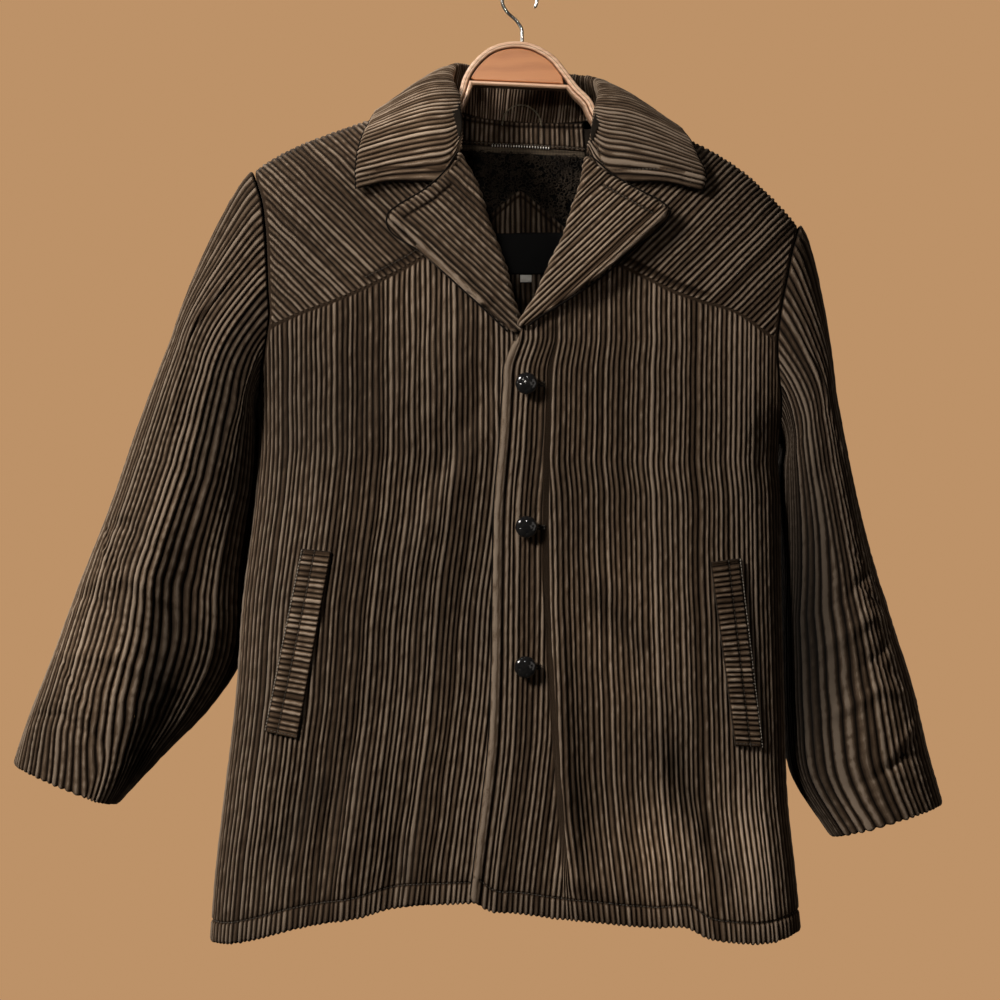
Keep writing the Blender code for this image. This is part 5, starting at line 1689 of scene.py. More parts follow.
class Wiring:
    """The nodes of one material, made and joined in the order of the pattern."""

    def __init__(self, name: str) -> None:
        """Starts a material with its shader."""
        self.material = bpy.data.materials.new(name)
        self.material.use_nodes = True
        self.tree = self.material.node_tree
        self.shader = self.tree.nodes["Principled BSDF"]

    def add(self, kind: str, settings: dict | None = None, **inputs: object) -> bpy.types.Node:
        """Adds a node.

        Args:
            kind: the node's type, without its prefix.
            settings: the node's own settings.
            **inputs: a value or a socket for each input; underscores stand for spaces.

        Returns:
            The node.
        """
        node = self.tree.nodes.new(kind if kind.startswith("ShaderNode") else "ShaderNode" + kind)
        for key, value in (settings or {}).items():
            setattr(node, key, value)
        for key, value in inputs.items():
            place = int(key[1:]) if key[0] == "i" and key[1:].isdigit() else key.replace("_", " ")
            self.feed(node.inputs[place], value)
        return node

    def feed(self, socket: Socket, value: object) -> None:
        """Sets an input to a value, or joins a socket to it."""
        if isinstance(value, Socket):
            self.tree.links.new(value, socket)
        else:
            socket.default_value = value

    def shade(self, **inputs: object) -> None:
        """Sets the shader's inputs."""
        for key, value in inputs.items():
            self.feed(self.shader.inputs[key.replace("_", " ")], value)

    def ramp(self, at: object, *stops: tuple[float, Vector]) -> Socket:
        """A colour read from a ramp.

        Args:
            at: where to read it.
            *stops: the place and colour of each stop.

        Returns:
            The colour's socket.
        """
        node = self.add("ValToRGB", i0=at)
        band = node.color_ramp
        while len(band.elements) < len(stops):
            band.elements.new(0.5)
        for element, (place, colour) in zip(band.elements, stops):
            element.position = place
            element.color = (*colour, 1.0)
        return node.outputs[0]

    def maths(self, operation: str, a: object, b: object = 0.5, c: object = 0.5) -> Socket:
        """The outcome of an operation on up to three numbers."""
        return self.add("Math", {"operation": operation}, i0=a, i1=b, i2=c).outputs[0]

    def mix(self, share: object, a: object, b: object, kind: str = "MIX") -> Socket:
        """Two colours mixed by a share."""
        node = self.add("Mix", {"data_type": "RGBA", "blend_type": kind}, i0=share)
        self.feed(node.inputs[6], a)
        self.feed(node.inputs[7], b)
        return node.outputs[2]

    def noise(self, at: object, scale: float, detail: float = 2.0, rough: float = 0.5) -> Socket:
        """Soft noise over a place."""
        node = self.add("TexNoise", Vector=at, Scale=scale, Detail=detail, Roughness=rough)
        return node.outputs[0]

    def place(self) -> Socket:
        """The place on the object."""
        return self.add("TexCoord").outputs["Object"]

    def spread(self, at: object, stretch: Vector) -> Socket:
        """A place stretched along its axes."""
        node = self.add("Mapping", Vector=at)
        node.inputs["Scale"].default_value = stretch
        return node.outputs[0]

    def bump(self, *layers: tuple[object, float, float]) -> None:
        """Puts reliefs on the shader.

        Args:
            *layers: the height, strength and depth in metres of each.
        """
        below = None
        for height, strength, distance in layers:
            node = self.add("Bump", Height=height, Strength=strength, Distance=distance)
            if below is not None:
                self.feed(node.inputs["Normal"], below)
            below = node.outputs[0]
        self.shade(Normal=below)


@dataclass(frozen=True)
class Corduroy:
    """Wide-wale cotton corduroy.

    Attributes:
        name: the material's name.
        groove: the colour between the wales, darkened as painted shade of the grooves.
        flank: the colour of the wales' sides.
        crest: the colour of their tops: the pile's own colour with a painted highlight.
        worn_and_highlit: the colour of the highest tops: rubbed pale, and a painted highlight as
            well.
    """

    name: str = "corduroy"
    groove: Vector = (0.004, 0.002, 0.0009)
    flank: Vector = (0.041, 0.0250, 0.0146)
    crest: Vector = (0.113, 0.0775, 0.0515)
    worn_and_highlit: Vector = (0.22, 0.167, 0.124)

    def material(self) -> Material:
        """The wales' colour by height, with painted shade in the grooves and painted highlights on
        the tops, and with lengthwise streaks, soft patches and fuzz.
        """
        w = Wiring(self.name)
        crest = w.add("Attribute", {"attribute_name": "crest"}).outputs["Fac"]
        flat = w.add("UVMap", {"uv_map": "cloth"}).outputs[0]
        spot = w.place()
        streak = w.noise(w.spread(flat, (210.0, 9.0, 1.0)), 1.0, 3.0, 0.6)
        strand = w.noise(w.spread(flat, (60.0, 130.0, 1.0)), 1.0, 2.0, 0.6)
        patch = w.noise(spot, 11.0, 3.0, 0.55)
        wale = w.noise(w.spread(flat, (20.0, 0.8, 1.0)), 1.0, 1.0)
        fuzz = w.noise(spot, 2100.0, 2.0, 0.7)
        height = crest
        for pattern, share in ((streak, 0.34), (fuzz, 0.42), (strand, 0.20)):
            height = w.maths("MULTIPLY_ADD", w.maths("SUBTRACT", pattern), share, height)
        # the ramp paints shade into the grooves and highlights on the wales' tops
        stops = (0.12, self.groove), (0.58, self.flank), (0.88, self.crest), (1.0, self.worn_and_highlit)
        colour = w.ramp(height, *stops)
        tone = w.maths("MULTIPLY_ADD", patch, 0.62, 0.69)
        tone = w.maths("MULTIPLY", tone, w.maths("MULTIPLY_ADD", wale, 0.5, 0.75))
        # the pile's tone attribute holds its nap together with its painted light and shade
        nap_and_painted_light = w.add("Attribute", {"attribute_name": "nap_and_painted_light"}).outputs["Fac"]
        tone = w.maths("MULTIPLY", tone, nap_and_painted_light)
        grey = w.add("CombineXYZ", X=tone, Y=tone, Z=tone).outputs[0]
        colour = w.mix(1.0, colour, grey, "MULTIPLY")
        w.shade(Base_Color=colour, Roughness=0.93, Specular_IOR_Level=0.12)
        w.shade(Sheen_Weight=0.09, Sheen_Roughness=0.4, Sheen_Tint=(0.9, 0.74, 0.6, 1.0))
        w.bump((streak, 0.5, 0.0004), (fuzz, 0.75, 0.00035))
        return w.material


@dataclass(frozen=True)
class WovenCloth:
    """A plain woven cloth, tape, label or lining.

    Attributes:
        name: the material's name.
        dark: the colour between the threads.
        light: the colour of the threads.
        threads: how many threads lie in a millimetre.
        roughness: how matt it is.
    """

    name: str
    dark: Vector
    light: Vector
    threads: float = 2.0
    roughness: float = 0.85

    def material(self) -> Material:
        """Crossing threads with a little unevenness."""
        w = Wiring(self.name)
        spot = w.place()
        scale = self.threads / MM / (2 * math.pi)
        bands = []
        for axis, stretch in (("X", (1.0, 0.0, 0.15)), ("Z", (0.1, 0.0, 1.0))):
            along = w.spread(spot, stretch)
            wave = w.add(
                "TexWave", {"bands_direction": axis}, Vector=along, Scale=scale, Distortion=0.8
            )
            bands.append(wave.outputs["Fac"])
        weave = w.maths("MULTIPLY", bands[0], bands[1])
        patch = w.noise(spot, 60.0, 3.0)
        height = w.maths("MULTIPLY_ADD", w.maths("SUBTRACT", patch), 0.5, weave)
        colour = w.ramp(height, (0.0, self.dark), (0.8, self.light))
        w.shade(Base_Color=colour, Roughness=self.roughness, Sheen_Weight=0.02)
        w.shade(Specular_IOR_Level=0.1)
        w.bump((weave, 0.6, 0.0002))
        return w.material


@dataclass(frozen=True)
class Yarn:
    """Twisted thread, cord or pile yarn.

    Attributes:
        name: the material's name.
        dark: its darkest colour.
        light: its lightest colour.
        twist: turns in ten centimetres.
        sheen: how much it shines along its edges.
    """

    name: str
    dark: Vector
    light: Vector
    twist: float = 900.0
    sheen: float = 0.3

    def material(self) -> Material:
        """Fine strands and soft patches."""
        w = Wiring(self.name)
        spot = w.place()
        strand = w.noise(w.spread(spot, (1.0, 1.0, 1.7)), self.twist, 2.0, 0.6)
        patch = w.noise(spot, 45.0, 2.0)
        height = w.maths("MULTIPLY_ADD", patch, 0.6, w.maths("MULTIPLY", strand, 0.6))
        w.shade(Base_Color=w.ramp(height, (0.35, self.dark), (0.8, self.light)), Roughness=0.8)
        w.shade(Sheen_Weight=self.sheen, Specular_IOR_Level=0.12)
        w.bump((strand, 0.5, 0.0002))
        return w.material


@dataclass(frozen=True)
class Leather:
    """Glossy black leather of the buttons."""

    name: str = "button_leather"
    colour: Vector = (0.006, 0.006, 0.0065)

    def material(self) -> Material:
        """Black with a fine grain and a lacquered coat."""
        w = Wiring(self.name)
        spot = w.place()
        grain = w.add("TexVoronoi", Vector=spot, Scale=1500.0).outputs["Distance"]
        rub = w.noise(spot, 300.0, 3.0)
        colour = w.ramp(rub, (0.35, self.colour), (0.75, (0.012, 0.011, 0.0105)))
        w.shade(Base_Color=colour, Roughness=w.maths("MULTIPLY_ADD", rub, 0.16, 0.1))
        w.shade(Coat_Weight=0.6, Coat_Roughness=0.12)
        w.bump((grain, 0.12, 0.0001))
        return w.material


@dataclass(frozen=True)
class Wood:
    """Lacquered wood with its grain along the arms.

    Attributes:
        name: the material's name.
        early: the colour of the pale growth.
        late: the colour of the grain's lines.
        scale: how close the lines are.
        tilt: the stretch of the grain across, in depth and up.
        roughness: how matt the lacquer is.
    """

    name: str
    early: Vector
    late: Vector
    scale: float = 55.0
    tilt: Vector = (0.12, 1.0, 1.0)
    roughness: float = 0.4

    def material(self) -> Material:
        """Long wandering grain, fine pores and a satin lacquer."""
        w = Wiring(self.name)
        spot = w.place()
        along = w.spread(spot, self.tilt)
        grain = w.noise(along, self.scale, 4.0, 0.6)
        pores = w.noise(w.spread(spot, (self.tilt[0] * 0.5, 1.0, 1.0)), self.scale * 14, 2.0, 0.7)
        rings = w.add(
            "TexWave", {"wave_type": "BANDS", "bands_direction": "Z"}, Vector=along,
            Scale=self.scale * 1.1, Distortion=5.0, Detail=3.0, Detail_Scale=1.2,
        ).outputs["Fac"]
        height = w.maths("MULTIPLY_ADD", rings, 0.35, w.maths("MULTIPLY", grain, 0.6))
        height = w.maths("MULTIPLY_ADD", pores, 0.3, height)
        w.shade(Base_Color=w.ramp(height, (0.3, self.late), (0.72, self.early)))
        w.shade(Roughness=w.maths("MULTIPLY_ADD", pores, 0.15, self.roughness))
        w.shade(Coat_Weight=0.2, Coat_Roughness=0.25)
        w.bump((pores, 0.15, 0.0001))
        return w.material


@dataclass(frozen=True)
class Chrome:
    """Bright plated wire."""

    name: str = "chrome"
    colour: Vector = (0.78, 0.77, 0.75)

    def material(self) -> Material:
        """Metal with faint drawing lines and smears."""
        w = Wiring(self.name)
        spot = w.place()
        smear = w.noise(spot, 90.0, 4.0, 0.6)
        lines = w.noise(w.spread(spot, (1.0, 1.0, 0.05)), 2500.0, 2.0)
        w.shade(Base_Color=(*self.colour, 1.0), Metallic=1.0)
        w.shade(Roughness=w.maths("MULTIPLY_ADD", smear, 0.22, 0.08))
        w.bump((lines, 0.08, 0.0001))
        return w.material


@dataclass(frozen=True)
class Moulded:
    """Moulded plastic of the zip's teeth."""

    name: str = "zip_plastic"
    colour: Vector = (0.74, 0.71, 0.66)

    def material(self) -> Material:
        """Pale plastic with a slight cloudiness."""
        w = Wiring(self.name)
        cloud = w.noise(w.place(), 400.0, 3.0)
        light = tuple(min(1.0, value * 1.15) for value in self.colour)
        w.shade(Base_Color=w.ramp(cloud, (0.3, self.colour), (0.7, light)), Roughness=0.4)
        w.bump((cloud, 0.1, 0.0001))
        return w.material


def made(recipe: object) -> Material:
    """A field that holds the material made by a recipe."""
    return field(default_factory=recipe.material)


@dataclass
class Finishes:
    """Every material of the coat and its hanger."""

    corduroy: Material = made(Corduroy())
    inside: Material = made(
        WovenCloth("lining_cloth", (0.006, 0.0042, 0.0026), (0.019, 0.0130, 0.0082))
    )
    thread: Material = made(Yarn("sewing_thread", (0.025, 0.018, 0.012), (0.10, 0.078, 0.056)))
    pile: Material = made(
        Yarn("pile_yarn", (0.0015, 0.001, 0.0008), (0.036, 0.026, 0.018), 700.0, 0.0)
    )
    tape: Material = made(WovenCloth("zip_tape", (0.03, 0.022, 0.015), (0.12, 0.09, 0.062), 1.4))
    label: Material = made(
        WovenCloth("label_cloth", (0.0008, 0.0008, 0.0009), (0.0045, 0.0045, 0.005), 2.4, 0.6)
    )
    tab: Material = made(WovenCloth("tab_cloth", (0.5, 0.48, 0.45), (0.82, 0.8, 0.76), 2.0))
    cord: Material = made(Yarn("loop_cord", (0.06, 0.048, 0.028), (0.2, 0.17, 0.11)))
    leather: Material = made(Leather())
    maple: Material = made(Wood("maple", (0.76, 0.50, 0.34), (0.60, 0.35, 0.21)))
    glue: Material = made(Wood("maple_glue_line", (0.16, 0.08, 0.045), (0.09, 0.045, 0.025)))
    # a darker copy of the maple for the bar's lower half: painted shade
    under: Material = made(Wood("maple_painted_shade", (0.30, 0.17, 0.10), (0.20, 0.11, 0.06)))
    panel: Material = made(
        Wood("panel_wood", (0.54, 0.228, 0.094), (0.43, 0.168, 0.066), 30.0, (0.25, 1.0, 0.6))
    )
    chrome: Material = made(Chrome())
    teeth: Material = made(Moulded())
    # the dark sheet in each buttonhole's slit: painted shade
    slit_shade: Material = made(
        WovenCloth("buttonhole_slit_shade", (0.002, 0.0015, 0.001), (0.008, 0.006, 0.004))
    )
    ground: Material = made(
        WovenCloth("pile_ground", (0.0006, 0.0005, 0.0004), (0.003, 0.0022, 0.0016))
    )
    pale: Material = made(
        Yarn("edging_thread", (0.12, 0.10, 0.08), (0.42, 0.37, 0.31), 900.0, 0.1)
    )
    twist: Material = made(
        Yarn("buttonhole_twist", (0.008, 0.006, 0.004), (0.035, 0.026, 0.018), 900.0, 0.1)
    )


# ---------------------------------------------------------------- the coat


def place_piece(
    piece: Piece,
    nodes: Sequence[str] = (),
    cut: tuple[float, float] | None = None,
    hangs_from: Sequence[str] = (),
    area: float | None = None,
) -> Piece:
    """Attaches a finished piece to the coat's body, hides the CAD nodes that it stands for and logs
    its face count.

    Args:
        piece: the piece.
        nodes: the CAD nodes that it stands for.
        cut: the width and length of the cloth that it was cut to, if it is cloth.
        hangs_from: what the cloth hangs from.
        area: not used.

    Returns:
        The piece.
    """
    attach(piece, BODY_NAME)
    if nodes:
        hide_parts(*nodes)
    if cut:
        list(hangs_from)
    log.info("%s: %d faces", piece.name, len(piece.data.polygons))
    return piece


@dataclass(frozen=True)
class Cut:
    """How a panel was cut, and what it hangs from.

    Attributes:
        width: the width of the cloth that it was cut from.
        length: the length of that cloth.
        share: the share of that rectangle that the panel fills.
        hangs_from: the pieces that hold it.
    """

    width: float
    length: float
    share: float
    hangs_from: tuple[str, ...]


@dataclass
class Garment:
    """The part that all of the coat's sub-assemblies share: finishes and sewing."""

    finishes: Finishes
    sewing: Sewing = field(default_factory=Sewing)

    def lay(self, panel: Panel, cut: Cut, slot: str = "corduroy") -> Piece:
        """Builds a panel with its stitches and attaches both to the coat's body.

        Args:
            panel: the panel.
            cut: how it was cut.
            slot: not used.

        Returns:
            The panel's object.
        """
        piece = panel.build(self.finishes.corduroy, self.finishes.inside)
        size = cut.width, cut.length
        place_piece(piece, [panel.name], size, cut.hangs_from, cut.share)
        if panel.threads:
            name = f"{panel.name}_stitches"
            place_piece(self.sewing.build(name, panel.threads, self.finishes.thread))
        return piece


@dataclass
class Body(Garment):
    """The two fronts and the back."""

    hem_depth: float = 18.5
    edge_depth: float = 8.2
    front_length: float = 560.0
    back_width: float = 530.0

    def form(self, side: int, seam: Array, roll: Array, hem: Array, inner: float) -> Lay:
        """The form of a front, from yoke seam, roll line and armhole down to the hem.

        Args:
            side: RIGHT or LEFT.
            seam: the yoke's seam.
            roll: the lapel's roll line.
            hem: the front's hem.
            inner: the place across where the yoke's seam ends at the roll line.

        Returns:
            The front's surface.
        """
        cut = FrontCut(side)

        def top(turn: Array, x: Array) -> Array:
            """The height of the front's top at a turn and a place across."""
            at_roll = straight(roll, x - side * ROLL_EDGE)
            line = np.where(side * x > side * inner, smooth(seam, x) - YOKE_GAP, at_roll)
            return np.minimum(line, armhole_height(side, turn))

        lift = overlap_lift if side == LEFT else None
        return body_panel(
            FRONT, upright(cut.turn, side), top, lambda x: smooth(hem, x), lift, cut.starts
        )

    def right_front(self) -> Panel:
        """The wearer's right front, which lies under the left one at the middle."""
        surface = self.form(RIGHT, YOKE_SEAM_RIGHT, ROLL_RIGHT, HEM_RIGHT, -27)
        return Panel(
            "front_right", surface, FrontCut(RIGHT).width(), self.front_length, FORWARD,
            edges=(Edge.SEAM, Edge.FREE, Edge.UNDER, Edge.FREE),
            stitches=(StitchLine(Side.FOOT, self.hem_depth),), seed=11, painted_light_and_shade=RIGHT_PAINTED_LIGHT,
        )

    def left_front(self) -> Panel:
        """The wearer's left front, which laps over the right one."""
        surface = self.form(LEFT, YOKE_SEAM_LEFT, ROLL_LEFT, HEM_LEFT, 38.5)
        return Panel(
            "front_left", surface, FrontCut(LEFT).width(), self.front_length, FORWARD,
            edges=(Edge.FREE, Edge.SEAM, Edge.UNDER, Edge.FREE),
            stitches=(
                StitchLine(Side.START, self.edge_depth),
                StitchLine(Side.FOOT, self.hem_depth, (0.02, 1.0)),
            ),
            seed=12, rolled=5.4, painted_light_and_shade=LEFT_PAINTED_LIGHT,
        )

    def back(self) -> Panel:
        """The back, in one piece from shoulder to hem."""
        right, left = NECK_ENDS

        def top(turn: Array, x: Array) -> Array:
            """The height of the back's top at a place across."""
            return np.where((x > right) & (x < left), smooth(NECKLINE, x), smooth(RIDGE, x))

        surface = body_panel(BACK, back_turn, top, lambda x: smooth(HEM_BACK, x))
        return Panel(
            "back", surface, self.back_width, 740.0, BACKWARD,
            edges=(Edge.SEAM, Edge.SEAM, Edge.SEAM, Edge.FREE),
            stitches=(StitchLine(Side.FOOT, self.hem_depth),), step=8.0, seed=13,
        )

    def build(self) -> None:
        """Builds all three panels."""
        self.lay(self.right_front(), Cut(305.0, 640.0, 0.82, ("yoke_right",)))
        self.lay(self.left_front(), Cut(355.0, 650.0, 0.80, ("yoke_left",)))
        self.lay(self.back(), Cut(590.0, 770.0, 0.86, ("hanger_rim",)))


@dataclass
class Yokes(Garment):
    """The front yokes, cut so that their wales run down to the armholes."""

    seam_depth: float = 8.5
    crowding: float = 1.6

    def build(self) -> None:
        """Builds both yokes."""
        for side, roll, seam, name, stitched, sewn_from, nap_and_painted_light in (
            (RIGHT, ROLL_RIGHT, YOKE_SEAM_RIGHT, "yoke_right", Side.FOOT, 0.36, 1.0),
            (LEFT, ROLL_LEFT, YOKE_SEAM_LEFT, "yoke_left", Side.HEAD, 0.30, 0.85),
        ):
            outline = yoke_outline(side, roll, seam)
            cut = SlantedCut(outline, side * YOKE_WALE_SLOPE, crowd=-side * self.crowding)
            panel = Panel(
                name, cut.surface(lay_on_shoulder), cut.width(), 190.0, FORWARD,
                stitches=(StitchLine(stitched, self.seam_depth, (sewn_from, 0.985)),),
                step=5.0, seed=20 + side, rise=1.15, nap_and_painted_light=nap_and_painted_light,
            )
            self.lay(panel, Cut(190.0, 225.0, 0.62, ("hanger_rim",)))


@dataclass
class Lapels(Garment):
    """The two lapels, folded back over the fronts."""

    edge_depth: float = 10.5
    right_stand: float = 8.0
    left_stand: float = 9.0
    thickness: float = 3.6

    def build(self) -> None:
        """Builds both lapels."""
        for side, name, edge, roll, under, stand, top, fullness, nap_and_painted_light in (
            (RIGHT, "right", LAPEL_RIGHT, ROLL_RIGHT, self.flat, self.right_stand,
             Side.HEAD, 1.0, 1.0),
            (LEFT, "left", LAPEL_LEFT, ROLL_LEFT, overlap_lift, self.left_stand,
             Side.FOOT, 1.18, 1.28),
        ):
            cut = SlantedCut(lapel_outline(edge, roll, side), side * LAPEL_WALE_SLOPE)
            surface = cut.surface(lay_lapel(roll, side, under, stand))
            panel = Panel(
                f"lapel_{name}", surface, cut.width() * fullness, 130.0, FORWARD,
                edges=(Edge.FREE, Edge.SEAM, Edge.FREE, Edge.FREE),
                stitches=(
                    StitchLine(Side.START, self.edge_depth, (0.04, 0.97)),
                    StitchLine(top, self.edge_depth, (0.10, 0.66)),
                ),
                step=3.5, seed=30 + side, rolled=4.4, puff=1.2, shell=self.thickness, nap_and_painted_light=nap_and_painted_light,
            )
            self.lay(panel, Cut(105.0, 165.0, 0.55, (f"front_{name}",)))

    @staticmethod
    def flat(x: Array, z: Array) -> Array:
        """No lift: the right lapel lies on the right front itself."""
        return 0.0 * x


@dataclass
class Sleeves(Garment):
    """Two sleeves, each a top and an under panel."""

    length: float = 560.0

    def build(self) -> None:
        """Builds all four panels."""
        back_seam = table((0, -BACK_QUARTER), (1, -BACK_QUARTER))
        for side, rows, name, top_width in (
            (RIGHT, SLEEVE_RIGHT, "right", 178.0), (LEFT, SLEEVE_LEFT, "left", 150.0)
        ):
            front_seam = SLEEVE_SEAMS[side]
            for part, start, end, width, out, seed, nap_and_painted_light, share in (
                ("top", back_seam, front_seam, top_width, side, 45, 1.0, 0.85),
                ("under", front_seam, back_seam + (0, 1), 150.0, -side, 40, 0.55, 0.70),
            ):
                surface = sleeve_part(side, rows, start, end)
                panel = Panel(
                    f"sleeve_{name}_{part}", surface, width, self.length, (out, 0.0, 0.0),
                    edges=(Edge.SEAM, Edge.SEAM, Edge.SEAM, Edge.FREE),
                    inset=(0.15, 0.15, 0.3, 0.6), step=5.0, seed=seed + side,
                    nap_and_painted_light=nap_and_painted_light, painted_light_and_shade=SLEEVE_PAINTED_LIGHT[side],
                )
                self.lay(panel, Cut(width + 30, 620.0, share, (f"yoke_{name}", "back")))


@dataclass
class Seams(Garment):
    """The turned-in cloth under every seam, which closes the gaps between the panels, and dark
    rolls that paint the shadows beside standing edges.
    """

    radius: float = 3.5
    depth: float = 3.2
    shadow: float = 0.8

    def build(self) -> None:
        """Builds the allowances of the armholes, shoulders, sides and yokes, and the painted shadow
        lines.
        """
        paths = []
        for side in (RIGHT, LEFT):
            around = np.linspace(0.0, 0.9999, 120)
            loop = armhole_loop(side, around)
            within = loop * (1.0, 0.0, 1.0) - np.array([side * 25.0, 0.0, 25.0])
            paths.append(loop + unit(within - loop) * self.depth)
            down = np.linspace(UNDERARM[side], -862.0, 60)
            edge = body_middle(down) + side * (body_half(down) - self.depth)
            paths.append(np.column_stack([edge, 0 * down, down]))
        for first, last in (SHOULDER_ENDS[:1] + NECK_ENDS[:1], NECK_ENDS[1:] + SHOULDER_ENDS[1:]):
            x = np.linspace(first, last, 40)
            paths.append(np.column_stack([x, 0 * x, smooth(RIDGE, x) - self.depth - 0.6]))
        seams = (YOKE_SEAM_RIGHT, -226.0, -32.0), (YOKE_SEAM_LEFT, 40.0, 231.0)
        for seam, first, last in seams:
            x = np.linspace(first, last, 50)
            paths.append(on_body(FRONT, x, smooth(seam, x), -self.depth))
        self.place("seam_allowances", paths, self.radius, 0.5, 0.8)
        # dark rolls that paint the shadows beside the edges of lapels, collar and left front
        self.place("edge_shadow_lines", self.shadow_lines(), self.shadow, 0.15, 0.5)

    def place(
        self, name: str, paths: Sequence[Array], radius: float, crest: float, nap_and_painted_light: float
    ) -> None:
        """Lays rolls of cloth along paths.

        Args:
            name: the piece's name.
            paths: their middles.
            radius: how thick they are.
            crest: how far up a wale their surface looks.
            nap_and_painted_light: how light their pile looks, dark where the rolls are painted
                shadow.
        """
        rolls = [(path, np.full(len(path), radius)) for path in paths]
        piece = tubes(name, rolls, 8, self.finishes.corduroy)
        for label, value in (("crest", crest), ("nap_and_painted_light", nap_and_painted_light)):
            keep_number(piece.data, label, np.full(len(piece.data.vertices), value))
        place_piece(piece)

    def shadow_lines(self) -> list[Array]:
        """Painted shadow: dark rolls laid just beyond the edges of lapels, collar and left front,
        where their shadows fall.
        """
        paths = []
        for side, edge, under, stand in (
            (RIGHT, LAPEL_RIGHT, Lapels.flat, Lapels.right_stand),
            (LEFT, LAPEL_LEFT, overlap_lift, Lapels.left_stand),
        ):
            line = curve_points(edge, 60)
            x, z = (line - side * beside(line) * 0.9).T
            lift = under(x, z) + LAYER_LIFT + LAPEL_CLEARANCE + stand - Lapels.thickness
            paths.append(on_body(FRONT, x, z, lift))
        z = np.linspace(-350.0, -829.0, 70)
        x = smooth(FRONT_EDGE, z)
        paths.append(on_body(FRONT, x - 0.9, z, overlap_lift(x, z) - 2.6))
        for ends in ((0.0, 0.3), (0.7, 1.0)):
            u = np.linspace(*ends, 50)
            path, inner = (collar_surface(u, np.full(50, share)) for share in (1.0, 0.97))
            paths.append(path + unit(path - inner) * 0.8 + np.array([0.0, 2.6, 0.0]))
        return paths


@dataclass
class Collar(Garment):
    """The collar: its stand rises inside the neck and its fall turns down outside."""

    width: float = 525.0
    edge_depth: float = 12.0

    def build(self) -> None:
        """Builds the collar."""
        panel = Panel(
            "collar", collar_surface, self.width, 125.0, BACKWARD,
            edges=(Edge.FREE, Edge.FREE, Edge.SEAM, Edge.FREE),
            stitches=(
                StitchLine(Side.FOOT, self.edge_depth),
                StitchLine(Side.START, self.edge_depth, (0.42, 0.9)),
                StitchLine(Side.END, self.edge_depth, (0.42, 0.9)),
            ),
            step=3.5, seed=51, rise=1.1, puff=0.8, painted_light_and_shade=COLLAR_PAINTED_LIGHT,
        )
        self.lay(panel, Cut(500.0, 130.0, 0.86, ("back", "lapel_left", "lapel_right")))


@dataclass
class Pockets(Garment):
    """The slanted welts of the two side pockets."""

    def build(self) -> None:
        """Builds both welts."""
        for side, corners, seed in (("right", WELT_RIGHT, 61), ("left", WELT_LEFT, 62)):
            name = f"welt_{side}"
            panel = Panel(
                name, quad_panel(corners, LAYER_LIFT), 165.0, 28.0, FORWARD,
                edges=(Edge.SEAM, Edge.SEAM, Edge.SEAM, Edge.FREE),
                stitches=(
                    StitchLine(Side.FOOT, 13.0),
                    StitchLine(Side.START, 2.2),
                    StitchLine(Side.END, 2.2),
                    StitchLine(Side.FOOT, 1.3, depth=0.3),
                ),
                step=2.5, seed=seed, rise=1.0, nap_and_painted_light=1.55,
            )
            self.lay(panel, Cut(175.0, 32.0, 0.95, (f"front_{side}",)))
            edge, pale = panel.threads[-1:], self.finishes.pale
            place_piece(Sewing(0.5, 2.9, 2.3).build(f"{name}_edging", edge, pale))


